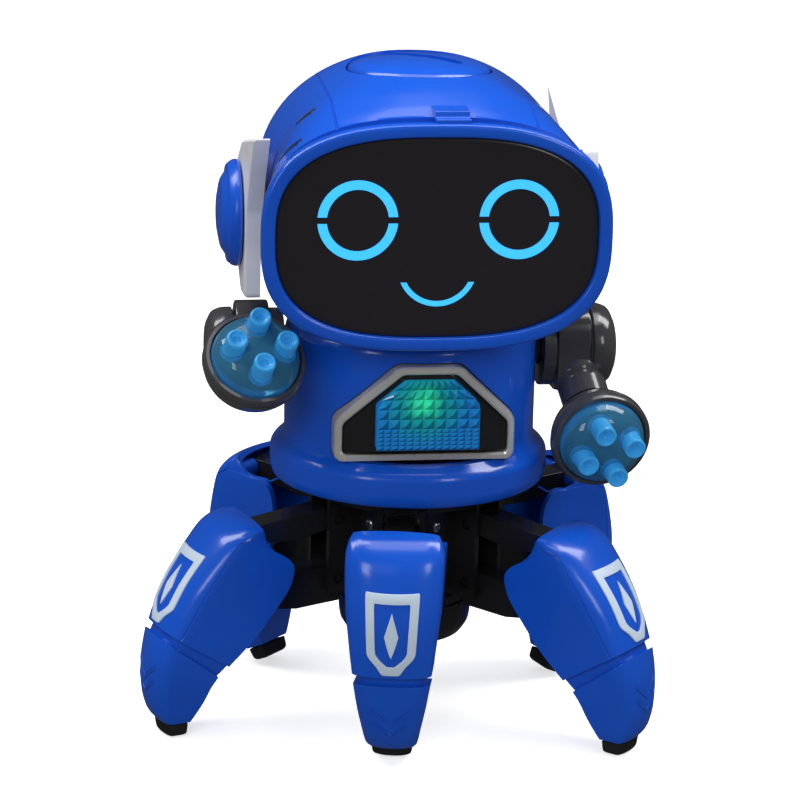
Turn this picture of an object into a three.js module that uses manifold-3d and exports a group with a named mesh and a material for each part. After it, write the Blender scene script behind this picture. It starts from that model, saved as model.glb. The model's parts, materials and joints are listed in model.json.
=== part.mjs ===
// Toy robot that stands on six lifting legs. Millimetres, +Z up, front towards -Y, +X on the viewer's right.
// A cam drum in the black hub carries a zigzag groove. The tails of the six upper arms ride in it, so that
// three legs go up while the other three go down. A leg also leans in towards the hub as it goes up.
import * as THREE from "three";
import { mergeVertices } from "three/addons/utils/BufferGeometryUtils.js";
import Module from "manifold-3d";

const wasm = await Module();
wasm.setup();

// ---- driving dimensions ----
const GAP = 0.35; // clearance between pieces that touch
const BASE_YAW = -3; // degrees, the hub and legs about Z at rest
const WAIST_YAW = 8.5; // degrees, the upper body about Z at rest

const COLUMN = { radius: 21, inner: 18.6, bottom: 22, corner: 7 };
const DECK = { radius: 31, bottom: 70, top: 72.5, bossRadius: 11, bossTop: 83 };
const RIB = { thickness: 2, spread: 5.7, outer: 30.5, bottom: 37 };
const DRUM = { radius: 14.6, bore: 2.4, bottom: 56.5, top: 69.2, grooveDepth: 3, grooveHalf: 1.75 };
const MOTOR = { radius: 10, bottom: 27, top: 54 };

const ARM = { pivotRadius: 27, length: 30, upperZ: 64, lowerZ: 45, swing: 5.75, width: 9, tail: 13.6 };
const LEG_LEAN = 25; // degrees, a raised leg towards the hub about its hip pin
const PIN_RADIUS = 1.5;
const FOLLOWER_RADIUS = 1.35;

const LEG_NAMES = ["front", "right_front", "right_rear", "rear", "left_rear", "left_front"];
const LEG_STEP = 60; // degrees between legs
const WALL = 2.1; // moulded shell thickness

const FLANGE = { radius: 43.3, bottom: 74.2, top: 85.5 };
const TORSO = { radius: 39, top: 124.6, floor: 78.5, floorThickness: 2 };
const CHEST = {
  front: 43, floor: 27, bottom: 88, shoulder: 101, top: 119, halfWidth: 27.6, topHalf: 9.6, band: 2.3,
};
const LENS = { halfWidth: 15.6, bottom: 92.6, shoulder: 107, top: 114.8, topHalf: 7.2 };

const HEAD = { front: -44, face: -51, halfWidth: 51.8, halfHeight: 33.8, centre: 159.6, power: 2.75 };
const LATCH = { left: -1.5, right: 8.7, rise: 3 };
const RIM = { width: 4.2, recess: 1.6, screenThickness: 2 };
const CROWN = { radius: 21.6, y: -4.5, base: 201.2, top: 206.4, slotTurn: -38, slotHalf: 14.5 };
const EAR = {
  z: 157.7, plate: 50.2, thickness: 3.2, capRadius: 16.3, capOut: 7, capSide: 53.8, backTurn: -105,
};
const COLLAR = { radius: 15, flange: 19, bottom: 121.9, top: 136 };

const DOOR = { halfWidth: 20, bottom: 90, top: 114 };
const SWITCH = { z: 119, halfHeight: 1.3, halfWidth: 1.9, rest: -2.5, slotHalf: 4.8 };
const SPEAKER = { radius: 12, magnet: 7, bottom: 84.2, top: 92.2, y: -13 };
const BOARD = { halfWidth: 24, front: -20.5, thickness: 1.6, bottom: 95, top: 121 };
const CELLS = { cellRadius: 5.25, cellHalf: 22.3, pitch: 11.4, y: 22, z: 102 };
const SHOULDER = {
  z: 115, inner: 40.2, blockStart: 44, side: 54.5, halfDepth: 12.4, halfHeight: 13.4, corner: 4,
};
const POD = { forward: 25, drop: 24.8, pitch: -11.2, radius: 15.6, domeRadius: 13.4 };
// radius, height behind the rim
const POD_BACK = [[0, -17], [7, -15.8], [11.4, -12.6], [14.2, -8.4], [15.6, -4]];
const NECK_RADIUS = 7.6;
const POD_YAW = { left: 7, right: 5 }; // degrees, both pods are turned a little towards +X on their necks
const NOZZLE = { ring: 7.6, radius: 3.4, reach: 12.2 };
const LEFT_ARM_RAISE = 54.6; // degrees, the left arm above the right one at rest

const COLOURS = {
  blue: { color: 0x1650cd, roughness: 0.3, metalness: 0 },
  black: { color: 0x141416, roughness: 0.3, metalness: 0 },
  smoke: { color: 0x3c3c40, roughness: 0.2, metalness: 0 },
  screen: { color: 0x18181c, roughness: 0.15, metalness: 0 },
  silver: { color: 0xaaa8a4, roughness: 0.3, metalness: 0.9 },
  white: { color: 0xe1e1e4, roughness: 0.4, metalness: 0 },
  clearBlue: { color: 0x2f93e0, roughness: 0.1, metalness: 0 },
  rubber: { color: 0x101010, roughness: 0.85, metalness: 0 },
  steel: { color: 0xb8bcc0, roughness: 0.35, metalness: 1 },
  board: { color: 0x1d5c34, roughness: 0.6, metalness: 0 },
};

// ---- helpers ----
const rad = THREE.MathUtils.degToRad;

function toManifold(geometry) {
  const plain = geometry.clone();
  plain.deleteAttribute("normal");
  plain.deleteAttribute("uv");
  const merged = mergeVertices(plain, 1e-3);
  const vertProperties = new Float32Array(merged.attributes.position.array);
  const triVerts = new Uint32Array(merged.index.array);
  return new wasm.Manifold(new wasm.Mesh({ numProp: 3, vertProperties, triVerts }));
}

function toGeometry(solid) {
  const out = solid.getMesh();
  const geometry = new THREE.BufferGeometry();
  geometry.setAttribute("position", new THREE.BufferAttribute(new Float32Array(out.vertProperties), 3));
  geometry.setIndex(new THREE.BufferAttribute(new Uint32Array(out.triVerts), 1));
  geometry.computeVertexNormals();
  return geometry;
}

const moved = (geometry, x, y, z) => geometry.translate(x, y, z);

// Joins the first list of geometries and cuts the second list out of it.
function combine(joined, cut = []) {
  let solid = toManifold(joined[0]);
  for (const other of joined.slice(1)) solid = solid.add(toManifold(other));
  for (const other of cut) solid = solid.subtract(toManifold(other));
  return toGeometry(solid);
}

// Drops the slivers that a cut may leave beside the piece itself.
function largest(solid) {
  const bodies = solid.decompose();
  return bodies.reduce((best, body) => (body.volume() > best.volume() ? body : best));
}

function common(first, second) {
  return toGeometry(toManifold(first).intersect(toManifold(second)));
}

function box(x0, x1, y0, y1, z0, z1) {
  const geometry = new THREE.BoxGeometry(x1 - x0, y1 - y0, z1 - z0);
  return moved(geometry, (x0 + x1) / 2, (y0 + y1) / 2, (z0 + z1) / 2);
}

// Turned solid about Z from [radius, height] pairs that start and end on the axis.
function turned(profile, segments = 20) {
  const points = profile.map(([r, h]) => new THREE.Vector2(r, h));
  return new THREE.LatheGeometry(points, segments).rotateX(Math.PI / 2);
}

// Disc or rod along Z.
const rod = (radius, z0, z1, segments = 16) => turned([[0, z0], [radius, z0], [radius, z1], [0, z1]],
  segments);

// Rod along X, centred on the given point.
function crossRod(radius, halfLength, y, z, segments = 6) {
  return moved(rod(radius, -halfLength, halfLength, segments).rotateY(Math.PI / 2), 0, y, z);
}

// Outline in the X-Z plane, extruded from front y0 back to y1.
function slab(outline, y0, y1) {
  const shape = new THREE.Shape(outline.map(([x, z]) => new THREE.Vector2(x, z)));
  const geometry = new THREE.ExtrudeGeometry(shape, { depth: y1 - y0, bevelEnabled: false });
  return geometry.rotateX(Math.PI / 2).translate(0, y1, 0);
}

// Outline in the Y-Z plane given as [reach, z] with reach towards -Y, extruded from x0 to x1.
function sideSlab(outline, x0, x1) {
  const shape = new THREE.Shape(outline.map(([reach, z]) => new THREE.Vector2(-reach, z)));
  const geometry = new THREE.ExtrudeGeometry(shape, { depth: x1 - x0, bevelEnabled: false });
  return geometry.rotateX(Math.PI / 2).rotateZ(Math.PI / 2).translate(x0, 0, 0);
}

// Closed skin over rings that all have the same number of points, with a fan at each end.
function loft(rings) {
  const count = rings[0].length;
  const positions = rings.flat();
  const index = [];
  for (let i = 0; i + 1 < rings.length; i++) {
    for (let j = 0; j < count; j++) {
      const a = i * count + j;
      const b = i * count + ((j + 1) % count);
      index.push(a, b, b + count, a, b + count, a + count);
    }
  }
  for (const [ring, flip] of [[0, true], [rings.length - 1, false]]) {
    const centre = new THREE.Vector3();
    for (const point of rings[ring]) centre.addScaledVector(point, 1 / count);
    positions.push(centre);
    const middle = positions.length - 1;
    for (let j = 0; j < count; j++) {
      const a = ring * count + j;
      const b = ring * count + ((j + 1) % count);
      if (flip) index.push(middle, b, a);
      else index.push(middle, a, b);
    }
  }
  const geometry = new THREE.BufferGeometry().setFromPoints(positions);
  geometry.setIndex(index);
  return volume(geometry) < 0 ? flipped(geometry) : geometry;
}

function volume(geometry) {
  const p = geometry.attributes.position;
  const [a, b, c] = [new THREE.Vector3(), new THREE.Vector3(), new THREE.Vector3()];
  let sum = 0;
  for (let i = 0; i < geometry.index.count; i += 3) {
    a.fromBufferAttribute(p, geometry.index.getX(i));
    b.fromBufferAttribute(p, geometry.index.getX(i + 1));
    c.fromBufferAttribute(p, geometry.index.getX(i + 2));
    sum += a.dot(b.cross(c));
  }
  return sum / 6;
}

function flipped(geometry) {
  const index = Array.from(geometry.index.array);
  for (let i = 0; i < index.length; i += 3) [index[i + 1], index[i + 2]] = [index[i + 2], index[i + 1]];
  geometry.setIndex(index);
  return geometry;
}

// Superellipse ring in the X-Z plane at depth y.
function oval(y, halfWidth, halfHeight, centre, power, count = 24) {
  return Array.from({ length: count }, (_, i) => {
    const angle = (i / count) * 2 * Math.PI;
    const [c, s] = [Math.cos(angle), Math.sin(angle)];
    const x = halfWidth * Math.sign(c) * Math.abs(c) ** (2 / power);
    const z = halfHeight * Math.sign(s) * Math.abs(s) ** (2 / power);
    return new THREE.Vector3(x, y, centre + z);
  });
}

function part(name, geometry, look) {
  const mesh = new THREE.Mesh(geometry, new THREE.MeshStandardMaterial(COLOURS[look]));
  mesh.name = name;
  return mesh;
}

function group(parts, place = {}) {
  const holder = new THREE.Group();
  holder.add(...parts);
  holder.rotation.order = "ZXY";
  if (place.position) holder.position.set(...place.position);
  holder.rotation.set(rad(place.x ?? 0), rad(place.y ?? 0), rad(place.z ?? 0));
  return holder;
}

// ---- hub ----
const legAngles = LEG_NAMES.map((_, i) => i * LEG_STEP);
const aroundZ = (geometry, degrees) => geometry.rotateZ(rad(degrees));

function hubColumn() {
  const { radius, inner, bottom, corner } = COLUMN;
  const rim = RIB.bottom + 3;
  const shell = turned([
    [inner - 5, bottom + 2.4], [inner - 5, bottom], [radius - corner, bottom], [radius - 2,
    bottom + corner - 2],
    [radius, bottom + corner + 3], [radius, rim], [inner, rim], [inner, bottom + corner + 3],
    [inner - 3, bottom + 2.4], [inner - 5, bottom + 2.4],
  ], 24);
  return part("hub_column", shell, "black");
}

function hubBottomCover() {
  const radius = COLUMN.inner - 5 - GAP;
  const cover = turned([[0, COLUMN.bottom + 0.2], [radius, COLUMN.bottom + 0.2], [radius,
    COLUMN.bottom + 2.4],
    [0, COLUMN.bottom + 2.4]], 24);
  return part("hub_bottom_cover", cover, "black");
}

function hubDeck() {
  const { radius, bottom, top, bossRadius, bossTop } = DECK;
  const ringBottom = RIB.bottom + 3 + GAP;
  const wall = turned([[COLUMN.inner, ringBottom], [COLUMN.radius, ringBottom], [COLUMN.radius, bottom + 1],
    [COLUMN.inner, bottom + 1], [COLUMN.inner, ringBottom]], 18);
  const plate = turned([[5, bottom], [radius, bottom], [radius, top], [bossRadius, top], [bossRadius,
    bossTop - 2.2],
    [bossRadius + 1.8, bossTop - 1.8], [bossRadius + 1.8, bossTop], [5, bossTop], [5, bottom]], 18);
  const joined = [plate, wall];
  const cuts = [];
  for (const angle of legAngles) {
    for (const side of [-1, 1]) {
      const x = side * (RIB.spread + RIB.thickness / 2);
      const rib = box(x - RIB.thickness / 2, x + RIB.thickness / 2, -RIB.outer, -COLUMN.inner - 0.4,
        ringBottom, bottom + 1);
      joined.push(aroundZ(rib, angle));
    }
    cuts.push(aroundZ(box(-RIB.spread, RIB.spread, -RIB.outer, -COLUMN.inner + 3, 57.6, bottom), angle));
    for (const z of [ARM.upperZ, ARM.lowerZ]) {
      cuts.push(aroundZ(crossRod(PIN_RADIUS + GAP, RIB.spread + 4, -ARM.pivotRadius, z), angle));
    }
  }
  return part("hub_deck", combine(joined, cuts), "black");
}

function driveMotor() {
  const { radius, bottom, top } = MOTOR;
  const can = turned([[0, bottom], [radius - 1, bottom], [radius, bottom + 1], [radius, top - 1],
    [radius - 1, top],
    [4, top], [4, top + 1.2], [0, top + 1.2]], 20);
  return part("drive_motor", can, "steel");
}

// ---- cam drum ----
const followerTravel = ARM.tail * Math.sin(rad(ARM.swing));

// Height of the groove above its middle: a triangle wave that peaks under every second leg.
function grooveRise(degrees) {
  const phase = (((degrees % 120) + 120) % 120) / 60;
  return followerTravel * (phase < 1 ? 2 * phase - 1 : 3 - 2 * phase);
}

function camDrum() {
  const { radius, bore, bottom, top, grooveDepth, grooveHalf } = DRUM;
  const steps = 36;
  const rings = Array.from({ length: steps + 1 }, (_, i) => {
    const degrees = (i / steps) * 360;
    const middle = ARM.upperZ + grooveRise(degrees);
    const profile = [[bore, bottom], [radius, bottom], [radius, middle - grooveHalf],
      [radius - grooveDepth, middle - grooveHalf], [radius - grooveDepth, middle + grooveHalf],
      [radius, middle + grooveHalf], [radius, top], [bore, top]];
    return profile.map(([r, z]) => new THREE.Vector3(r * Math.sin(rad(degrees)),
      -r * Math.cos(rad(degrees)), z));
  });
  const count = rings[0].length;
  const index = [];
  for (let i = 0; i < steps; i++) {
    for (let j = 0; j < count; j++) {
      const a = i * count + j;
      const b = i * count + ((j + 1) % count);
      const [c, d] = [((i + 1) % steps) * count + j, ((i + 1) % steps) * count + ((j + 1) % count)];
      index.push(a, d, b, a, c, d);
    }
  }
  const geometry = new THREE.BufferGeometry().setFromPoints(rings.slice(0, steps).flat());
  geometry.setIndex(index);
  return part("cam_drum", volume(geometry) < 0 ? flipped(geometry) : geometry, "white");
}

function driveShaft() {
  return part("drive_shaft", rod(DRUM.bore - GAP, MOTOR.top + 1.6, DRUM.top - 0.5, 16), "steel");
}

// ---- legs ----
// Stations of a leg shell: outer [reach, z], inner [reach, z], width across.
const THIGH = [
  { outer: [55.5, 67], inner: [53.5, 60], width: 26 },
  { outer: [60.5, 67], inner: [51, 58], width: 28 },
  { outer: [67, 64.3], inner: [47.5, 56], width: 29.4 },
  { outer: [73, 58], inner: [45.5, 52.5], width: 29.6 },
  { outer: [79, 50], inner: [47, 46], width: 28.6 },
  { outer: [83, 42.5], inner: [52.5, 37.5], width: 26.6 },
  { outer: [84.4, 39], inner: [58, 30.5], width: 25.4 },
  { outer: [85.7, 35], inner: [67, 21.5], width: 23.6 },
];

const SHIN = [
  { outer: [86.4, 33.6], inner: [68.8, 19.9], width: 23.2 },
  { outer: [88.2, 25], inner: [71, 16], width: 21 },
  { outer: [88.6, 15], inner: [72.6, 11.5], width: 18 },
  { outer: [87, 8], inner: [75, 7.2], width: 16 },
  { outer: [84.6, 4.6], inner: [76.4, 4.6], width: 14 },
];

const PAD = [
  { outer: [84.2, 4.2], inner: [76.8, 4.2], width: 12.6 },
  { outer: [83.8, 1.4], inner: [77, 1.4], width: 12 },
  { outer: [82.6, 0], inner: [78, 0], width: 9.6 },
];

const ARCH_POINTS = 5;

// One ring of a leg: flat sides on the inner part of the depth, and an arch over the outer part.
function legRing({ outer, inner, width }, inset = 0, open = 0) {
  const axis = new THREE.Vector2(outer[0] - inner[0], outer[1] - inner[1]);
  const depth = axis.length();
  axis.normalize();
  const at = (fraction, across) => {
    const reach = inner[0] + axis.x * fraction;
    const z = inner[1] + axis.y * fraction;
    return new THREE.Vector3(across, -reach, z);
  };
  const half = width / 2 - inset;
  const rise = depth * 0.3;
  const ring = [at(-open, -half)];
  for (let i = 0; i < ARCH_POINTS; i++) {
    const angle = Math.PI * (1 - i / (ARCH_POINTS - 1));
    ring.push(at(depth - rise - inset + rise * Math.sin(angle) ** 0.8, half * Math.cos(angle)));
  }
  ring.push(at(-open, half));
  return ring;
}

// Hip pin of a leg: its reach, and its height with the leg down and up.
const hip = {
  reach: ARM.pivotRadius + ARM.length * Math.cos(rad(ARM.swing)),
  low: ARM.upperZ - ARM.length * Math.sin(rad(ARM.swing)),
  high: ARM.upperZ + ARM.length * Math.sin(rad(ARM.swing)),
};

function thighShell(name) {
  const skin = loft(THIGH.map((station) => legRing(station)));
  const stretch = THIGH.map((station) => ({ ...station, outer: [...station.outer],
    inner: [...station.inner] }));
  const last = stretch.length - 1;
  stretch[0].outer[0] -= 6;
  stretch[0].inner[0] -= 6;
  stretch[last].outer[1] += 1.6;
  stretch[last].inner[1] += 1.6;
  const hollow = loft(stretch.map((station) => legRing(station, WALL, 5)));
  const bosses = [-1, 1].map((side) => {
    const boss = rod(2.9, ARM.width / 2 + GAP, 13, 6).rotateY((side * Math.PI) / 2);
    return moved(boss, 0, -hip.reach, hip.low);
  });
  const hole = crossRod(PIN_RADIUS + GAP, 7.5, -hip.reach, hip.low);
  const mouth = box(-ARM.width / 2 - 0.7, ARM.width / 2 + 0.7, -54, -40, 35.6, 63.4);
  const shell = toManifold(skin).subtract(toManifold(hollow)).subtract(toManifold(mouth));
  const whole = bosses.reduce((sum, boss) => sum.add(toManifold(boss)), shell);
  return part(name, toGeometry(largest(whole.subtract(toManifold(hole)))), "blue");
}

// Flat moulded arm with a cross pin at each end and a tail that carries the cam follower.
function upperArm(name) {
  const half = ARM.width / 2;
  const end = ARM.length;
  const outline = [[-3.4, -2.2], [-1.6, -3.4], [4, -3.6], [12, -4.6], [22, -3.4], [end + 1, -2.6],
    [end + 2.6, -1],
    [end + 2.6, 1], [end + 1, 2.6], [20, 2.8], [4, 3.6], [-2, 3.2], [-3.4, 1.8]];
  return part(name, combine([
    sideSlab(outline, -half, half),
    crossRod(PIN_RADIUS, half + 2.6, 0, 0),
    crossRod(PIN_RADIUS, half + 2.6, -end, 0),
    box(-1.6, 1.6, 0, ARM.tail - 1.6, -1.6, 1.6),
    moved(rod(FOLLOWER_RADIUS, -1.4, 1.8, 6).rotateX(-Math.PI / 2), 0, ARM.tail - 0.2, 0),
  ]), "black");
}

// Fixed strut under the arm. The pin at its tip guides the inside of the leg.
function lowerArm(name) {
  const half = ARM.width / 2;
  const outline = [[-3.4, -6], [-1.4, -8.4], [13, -9.4], [20, -8.4], [23, -6], [23, 0], [20.5, 1.8], [1,
    3], [-2, 2.8],
    [-3.4, 1.4]];
  return part(name, combine([
    sideSlab(outline, -half, half),
    crossRod(PIN_RADIUS, half + 2.6, 0, 0),
    crossRod(PIN_RADIUS, half + 1.6, -20, -3),
  ]), "black");
}

function leg(label, degrees, raised) {
  const lift = raised ? ARM.swing : -ARM.swing;
  const shells = group([
    thighShell(`${label}_thigh_shell`),
    part(`${label}_shin_shell`, loft(SHIN.map((station) => legRing(station))), "blue"),
    part(`${label}_foot_pad`, loft(PAD.map((station) => legRing(station))), "rubber"),
  ], { position: [0, hip.reach, -hip.low] });
  const leaning = group([shells], {
    position: [0, -hip.reach, raised ? hip.high : hip.low],
    x: raised ? LEG_LEAN : 0,
  });
  const upper = group([upperArm(`${label}_upper_arm`)],
    { position: [0, -ARM.pivotRadius, ARM.upperZ], x: -lift });
  const lower = group([lowerArm(`${label}_lower_arm`)], { position: [0, -ARM.pivotRadius, ARM.lowerZ] });
  return group([leaning, upper, lower], { z: degrees });
}

// ---- torso ----
function torsoOuter() {
  const { radius, top } = TORSO;
  return turned([[0, FLANGE.bottom], [FLANGE.radius - 3, FLANGE.bottom], [FLANGE.radius - 0.8,
    FLANGE.bottom + 1.4],
    [FLANGE.radius, FLANGE.bottom + 3.6], [FLANGE.radius, FLANGE.top - 2], [FLANGE.radius - 0.9, FLANGE.top],
    [radius + 0.8, FLANGE.top + 2.4], [radius, FLANGE.top + 4.4], [radius, top - 3], [radius - 1, top - 1],
    [radius - 3, top], [0, top]], 32);
}

function torsoInner() {
  const { radius, top, floor, floorThickness } = TORSO;
  const inner = radius - WALL;
  return turned([[0, floor + floorThickness], [inner, floor + floorThickness], [inner, top - 4],
    [inner - 2, top - WALL], [0, top - WALL]], 32);
}

function torsoShells() {
  const { radius, floor } = TORSO;
  const big = FLANGE.radius + 1;
  const under = rod(radius, FLANGE.bottom - 1, floor, 32);
  const neckHole = rod(COLLAR.radius + GAP, TORSO.top - 6, TORSO.top + 1, 24);
  const waistHole = rod(DECK.bossRadius + GAP, FLANGE.bottom, floor + 5, 24);
  const shoulderHoles = crossRod(5.6, big, 0, SHOULDER.z, 12);
  const whole = combine([torsoOuter()], [torsoInner(), under, neckHole, waistHole, shoulderHoles]);
  const seam = GAP / 2;
  const frontHalf = box(-big, big, -big, -seam, FLANGE.bottom - 1, TORSO.top + 1);
  const rearHalf = box(-big, big, seam, big, FLANGE.bottom - 1, TORSO.top + 1);
  const door = box(-DOOR.halfWidth, DOOR.halfWidth, radius - 14, big, DOOR.bottom, DOOR.top);
  const slot = box(-SWITCH.slotHalf, SWITCH.slotHalf, radius - 10, big,
    SWITCH.z - SWITCH.halfHeight - GAP, SWITCH.z + SWITCH.halfHeight + GAP);
  const chestPocket = slab(chestOutline(GAP), -CHEST.front - 1, -CHEST.floor);
  const front = toManifold(common(whole, frontHalf)).subtract(toManifold(chestPocket));
  const rear = toManifold(common(whole, rearHalf)).subtract(toManifold(door)).subtract(toManifold(slot));
  return [part("torso_front_shell", toGeometry(front), "blue"), part("torso_rear_shell", toGeometry(rear),
    "blue")];
}

// Chest panel: six-cornered plate that stands in a pocket of the front shell.
function sixCorners({ halfWidth, bottom, shoulder, top, topHalf }, grow) {
  return [[-halfWidth - grow, bottom - grow], [halfWidth + grow, bottom - grow], [halfWidth + grow,
    shoulder + grow],
    [topHalf + grow, top + grow], [-topHalf - grow, top + grow], [-halfWidth - grow, shoulder + grow]];
}
const chestOutline = (grow) => sixCorners(CHEST, grow);

function chestFrame() {
  const plate = slab(chestOutline(0), -CHEST.front, -CHEST.floor - GAP);
  const opening = slab(chestOutline(-CHEST.band), -CHEST.front - 1, -CHEST.front + 1.4);
  const lensHole = slab(sixCorners(LENS, GAP), -CHEST.front, -CHEST.floor + 1);
  const round = rod(CHEST.front, CHEST.bottom - 2, CHEST.top + 2, 48);
  return part("chest_frame", common(combine([plate], [opening, lensHole]), round), "silver");
}

function chestLens() {
  const front = -CHEST.front + 2.2;
  const body = slab(sixCorners(LENS, 0), front, -CHEST.floor - 2);
  const grooves = [];
  for (let i = 1; i < 6; i++) {
    const x = -LENS.halfWidth + (i * 2 * LENS.halfWidth) / 6;
    grooves.push(new THREE.BoxGeometry(1.2, 1.2, 40).rotateZ(Math.PI / 4).translate(x, front, LENS.shoulder));
  }
  return part("chest_lens", combine([body], grooves), "clearBlue");
}

function batteryDoor() {
  const skin = torsoOuter();
  const inner = turned([[0, 80], [TORSO.radius - WALL, 80], [TORSO.radius - WALL, 125], [0, 125]], 32);
  const window = box(-DOOR.halfWidth + GAP, DOOR.halfWidth - GAP, TORSO.radius - 13, FLANGE.radius,
    DOOR.bottom + GAP, DOOR.top - GAP);
  return part("battery_door", common(combine([skin], [inner]), window), "blue");
}

function batteryHolder() {
  const { cellRadius, cellHalf, pitch, y, z } = CELLS;
  const cells = [-1, 0, 1].map((i) => crossRod(cellRadius, cellHalf, y, z + i * pitch, 12));
  const tray = box(-cellHalf - 1.6, cellHalf + 1.6, y - cellRadius - 2, y, z - 1.4 * pitch, z + 1.4 * pitch);
  return part("battery_holder", combine([tray, ...cells]), "black");
}

function speaker() {
  const { radius, magnet, bottom, top, y } = SPEAKER;
  const cone = turned([[0, bottom], [radius, bottom], [radius, bottom + 2], [magnet, top - 2.5], [magnet,
    top],
    [0, top]], 20);
  return part("speaker", moved(cone, 0, y, 0), "black");
}

function mainBoard() {
  const { halfWidth, front, thickness, bottom, top } = BOARD;
  return part("main_board", box(-halfWidth, halfWidth, front, front + thickness, bottom, top), "board");
}

function neckCollar() {
  const { radius, flange, bottom, top } = COLLAR;
  const inner = radius - 3;
  const profile = [[inner, bottom - 2], [radius + 3, bottom - 2], [radius + 3, bottom + 0.4], [radius,
    bottom + 0.4],
    [radius, top - 2.4], [flange, top - 2.4], [flange, top], [inner, top], [inner, bottom - 2]];
  return part("neck_collar", turned(profile, 24), "black");
}

function powerSwitch() {
  const { z, halfHeight, halfWidth, rest } = SWITCH;
  const knob = box(rest - halfWidth, rest + halfWidth, 34.6, 40.4, z - halfHeight, z + halfHeight);
  return part("power_switch", knob, "black");
}

// ---- head ----
// Stations of the helmet from the bezel seam to the back: depth, half width, half height, centre height,
// power.
const HELMET = [
  [-44, 50.6, 34, 160.2, 2.65], [-38, 49.8, 36, 161.6, 2.55], [-28, 48.2, 38.2, 164.2, 2.45],
  [-16, 46.8, 39.2, 166, 2.35], [-2, 45.8, 39.6, 166.8, 2.3], [12, 44.6, 39.2, 166.8, 2.25],
  [24, 41.2, 36.6, 166.4, 2.2], [34, 34.8, 31.4, 165.8, 2.1], [41, 26, 24, 165.2, 2],
  [45.6, 15, 14, 165, 2], [47, 6, 6, 165, 2],
];

function helmetSkin(inset, firstExtra) {
  const rings = HELMET.map(([y, w, h, z, n], i) => {
    const depth = i === 0 ? y - firstExtra : Math.min(y, 47 - inset);
    return oval(depth, Math.max(w - inset, 2), Math.max(h - inset, 2), z, n);
  });
  return loft(rings);
}

function helmetShell() {
  const hollow = helmetSkin(WALL + 0.2, 2);
  const neck = rod(COLLAR.radius + GAP, 118, 140, 24);
  const recess = rod(CROWN.radius + GAP, CROWN.base - 0.4, 215, 32).translate(0, CROWN.y, 0);
  const pockets = [-1, 1].map((side) => {
    const pocket = rod(6.3, 40, 60, 20).rotateY((side * Math.PI) / 2);
    return moved(pocket, 0, 0, EAR.z);
  });
  return part("helmet_shell", combine([helmetSkin(0, 0)], [hollow, neck, recess, ...pockets]), "blue");
}

const faceOval = (y, inset) => oval(y, HEAD.halfWidth - inset, HEAD.halfHeight - inset, HEAD.centre,
  HEAD.power, 32);

function faceBezel() {
  const back = HEAD.front - GAP;
  const outer = loft([faceOval(back, 0.8), faceOval(HEAD.face + 1.2, 0), faceOval(HEAD.face, 0.9)]);
  const front = loft([faceOval(HEAD.face - 1, RIM.width), faceOval(HEAD.face + RIM.recess, RIM.width)]);
  const seat = loft([faceOval(HEAD.face + RIM.recess - 0.5, RIM.width), faceOval(back + 1, RIM.width)]);
  const lip = HEAD.centre + HEAD.halfHeight;
  const tab = box(LATCH.left, LATCH.right, HEAD.face + 1, HEAD.front - 0.6, lip - 2, lip + LATCH.rise);
  return part("face_bezel", combine([outer, tab], [front, seat]), "blue");
}

function faceScreen() {
  const front = HEAD.face + RIM.recess;
  const inset = RIM.width + GAP;
  const plate = loft([faceOval(front, inset + 0.3), faceOval(front + 0.4, inset),
    faceOval(front + RIM.screenThickness + 1, inset)]);
  return part("face_screen", plate, "screen");
}

function crownDisc() {
  const { radius, base, top, y, slotTurn, slotHalf } = CROWN;
  const disc = turned([[0, base + 0.2], [radius - 0.6, base + 0.2], [radius, base + 0.8], [radius - 1.4,
    base + 2.2],
    [radius * 0.6, top - 1], [0, top]], 24);
  const slot = box(-slotHalf, slotHalf, -1.4, 1.4, base + 2.6, top + 2).rotateZ(rad(slotTurn));
  return part("crown_disc", moved(combine([disc], [slot]), 0, y, 0), "blue");
}

// Ear fin seen from its side: [reach, rise] about the ear's centre. The top front corner is the longest.
const FIN = [[42, 30], [30, 16], [21, 4], [17.5, -8], [17, -23], [4, -24], [-13, -14], [-18.6, 0], [-13,
  14], [4, 23]];

function ear(side, label, turn) {
  const inner = Math.min(side * EAR.plate, side * (EAR.plate + EAR.thickness));
  const plate = sideSlab(FIN, inner, inner + EAR.thickness);
  const stem = moved(rod(5.8, 0, 6.4, 20).rotateY((-side * Math.PI) / 2), side * (EAR.plate + 0.4), 0, 0);
  const cap = turned([[0, 0], [EAR.capRadius, 0], [EAR.capRadius, 1.6], [EAR.capRadius - 2, 4], [10.5, 5.9],
    [5.5, 6.8], [0, EAR.capOut]], 20).rotateY((side * Math.PI) / 2);
  const parts = [part(`${label}_ear_fin`, combine([plate, stem]), "white"),
    part(`${label}_ear_cap`, moved(cap, side * EAR.capSide, 0, 0), "blue")];
  return group(parts, { position: [0, 0, EAR.z], x: turn });
}

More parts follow.
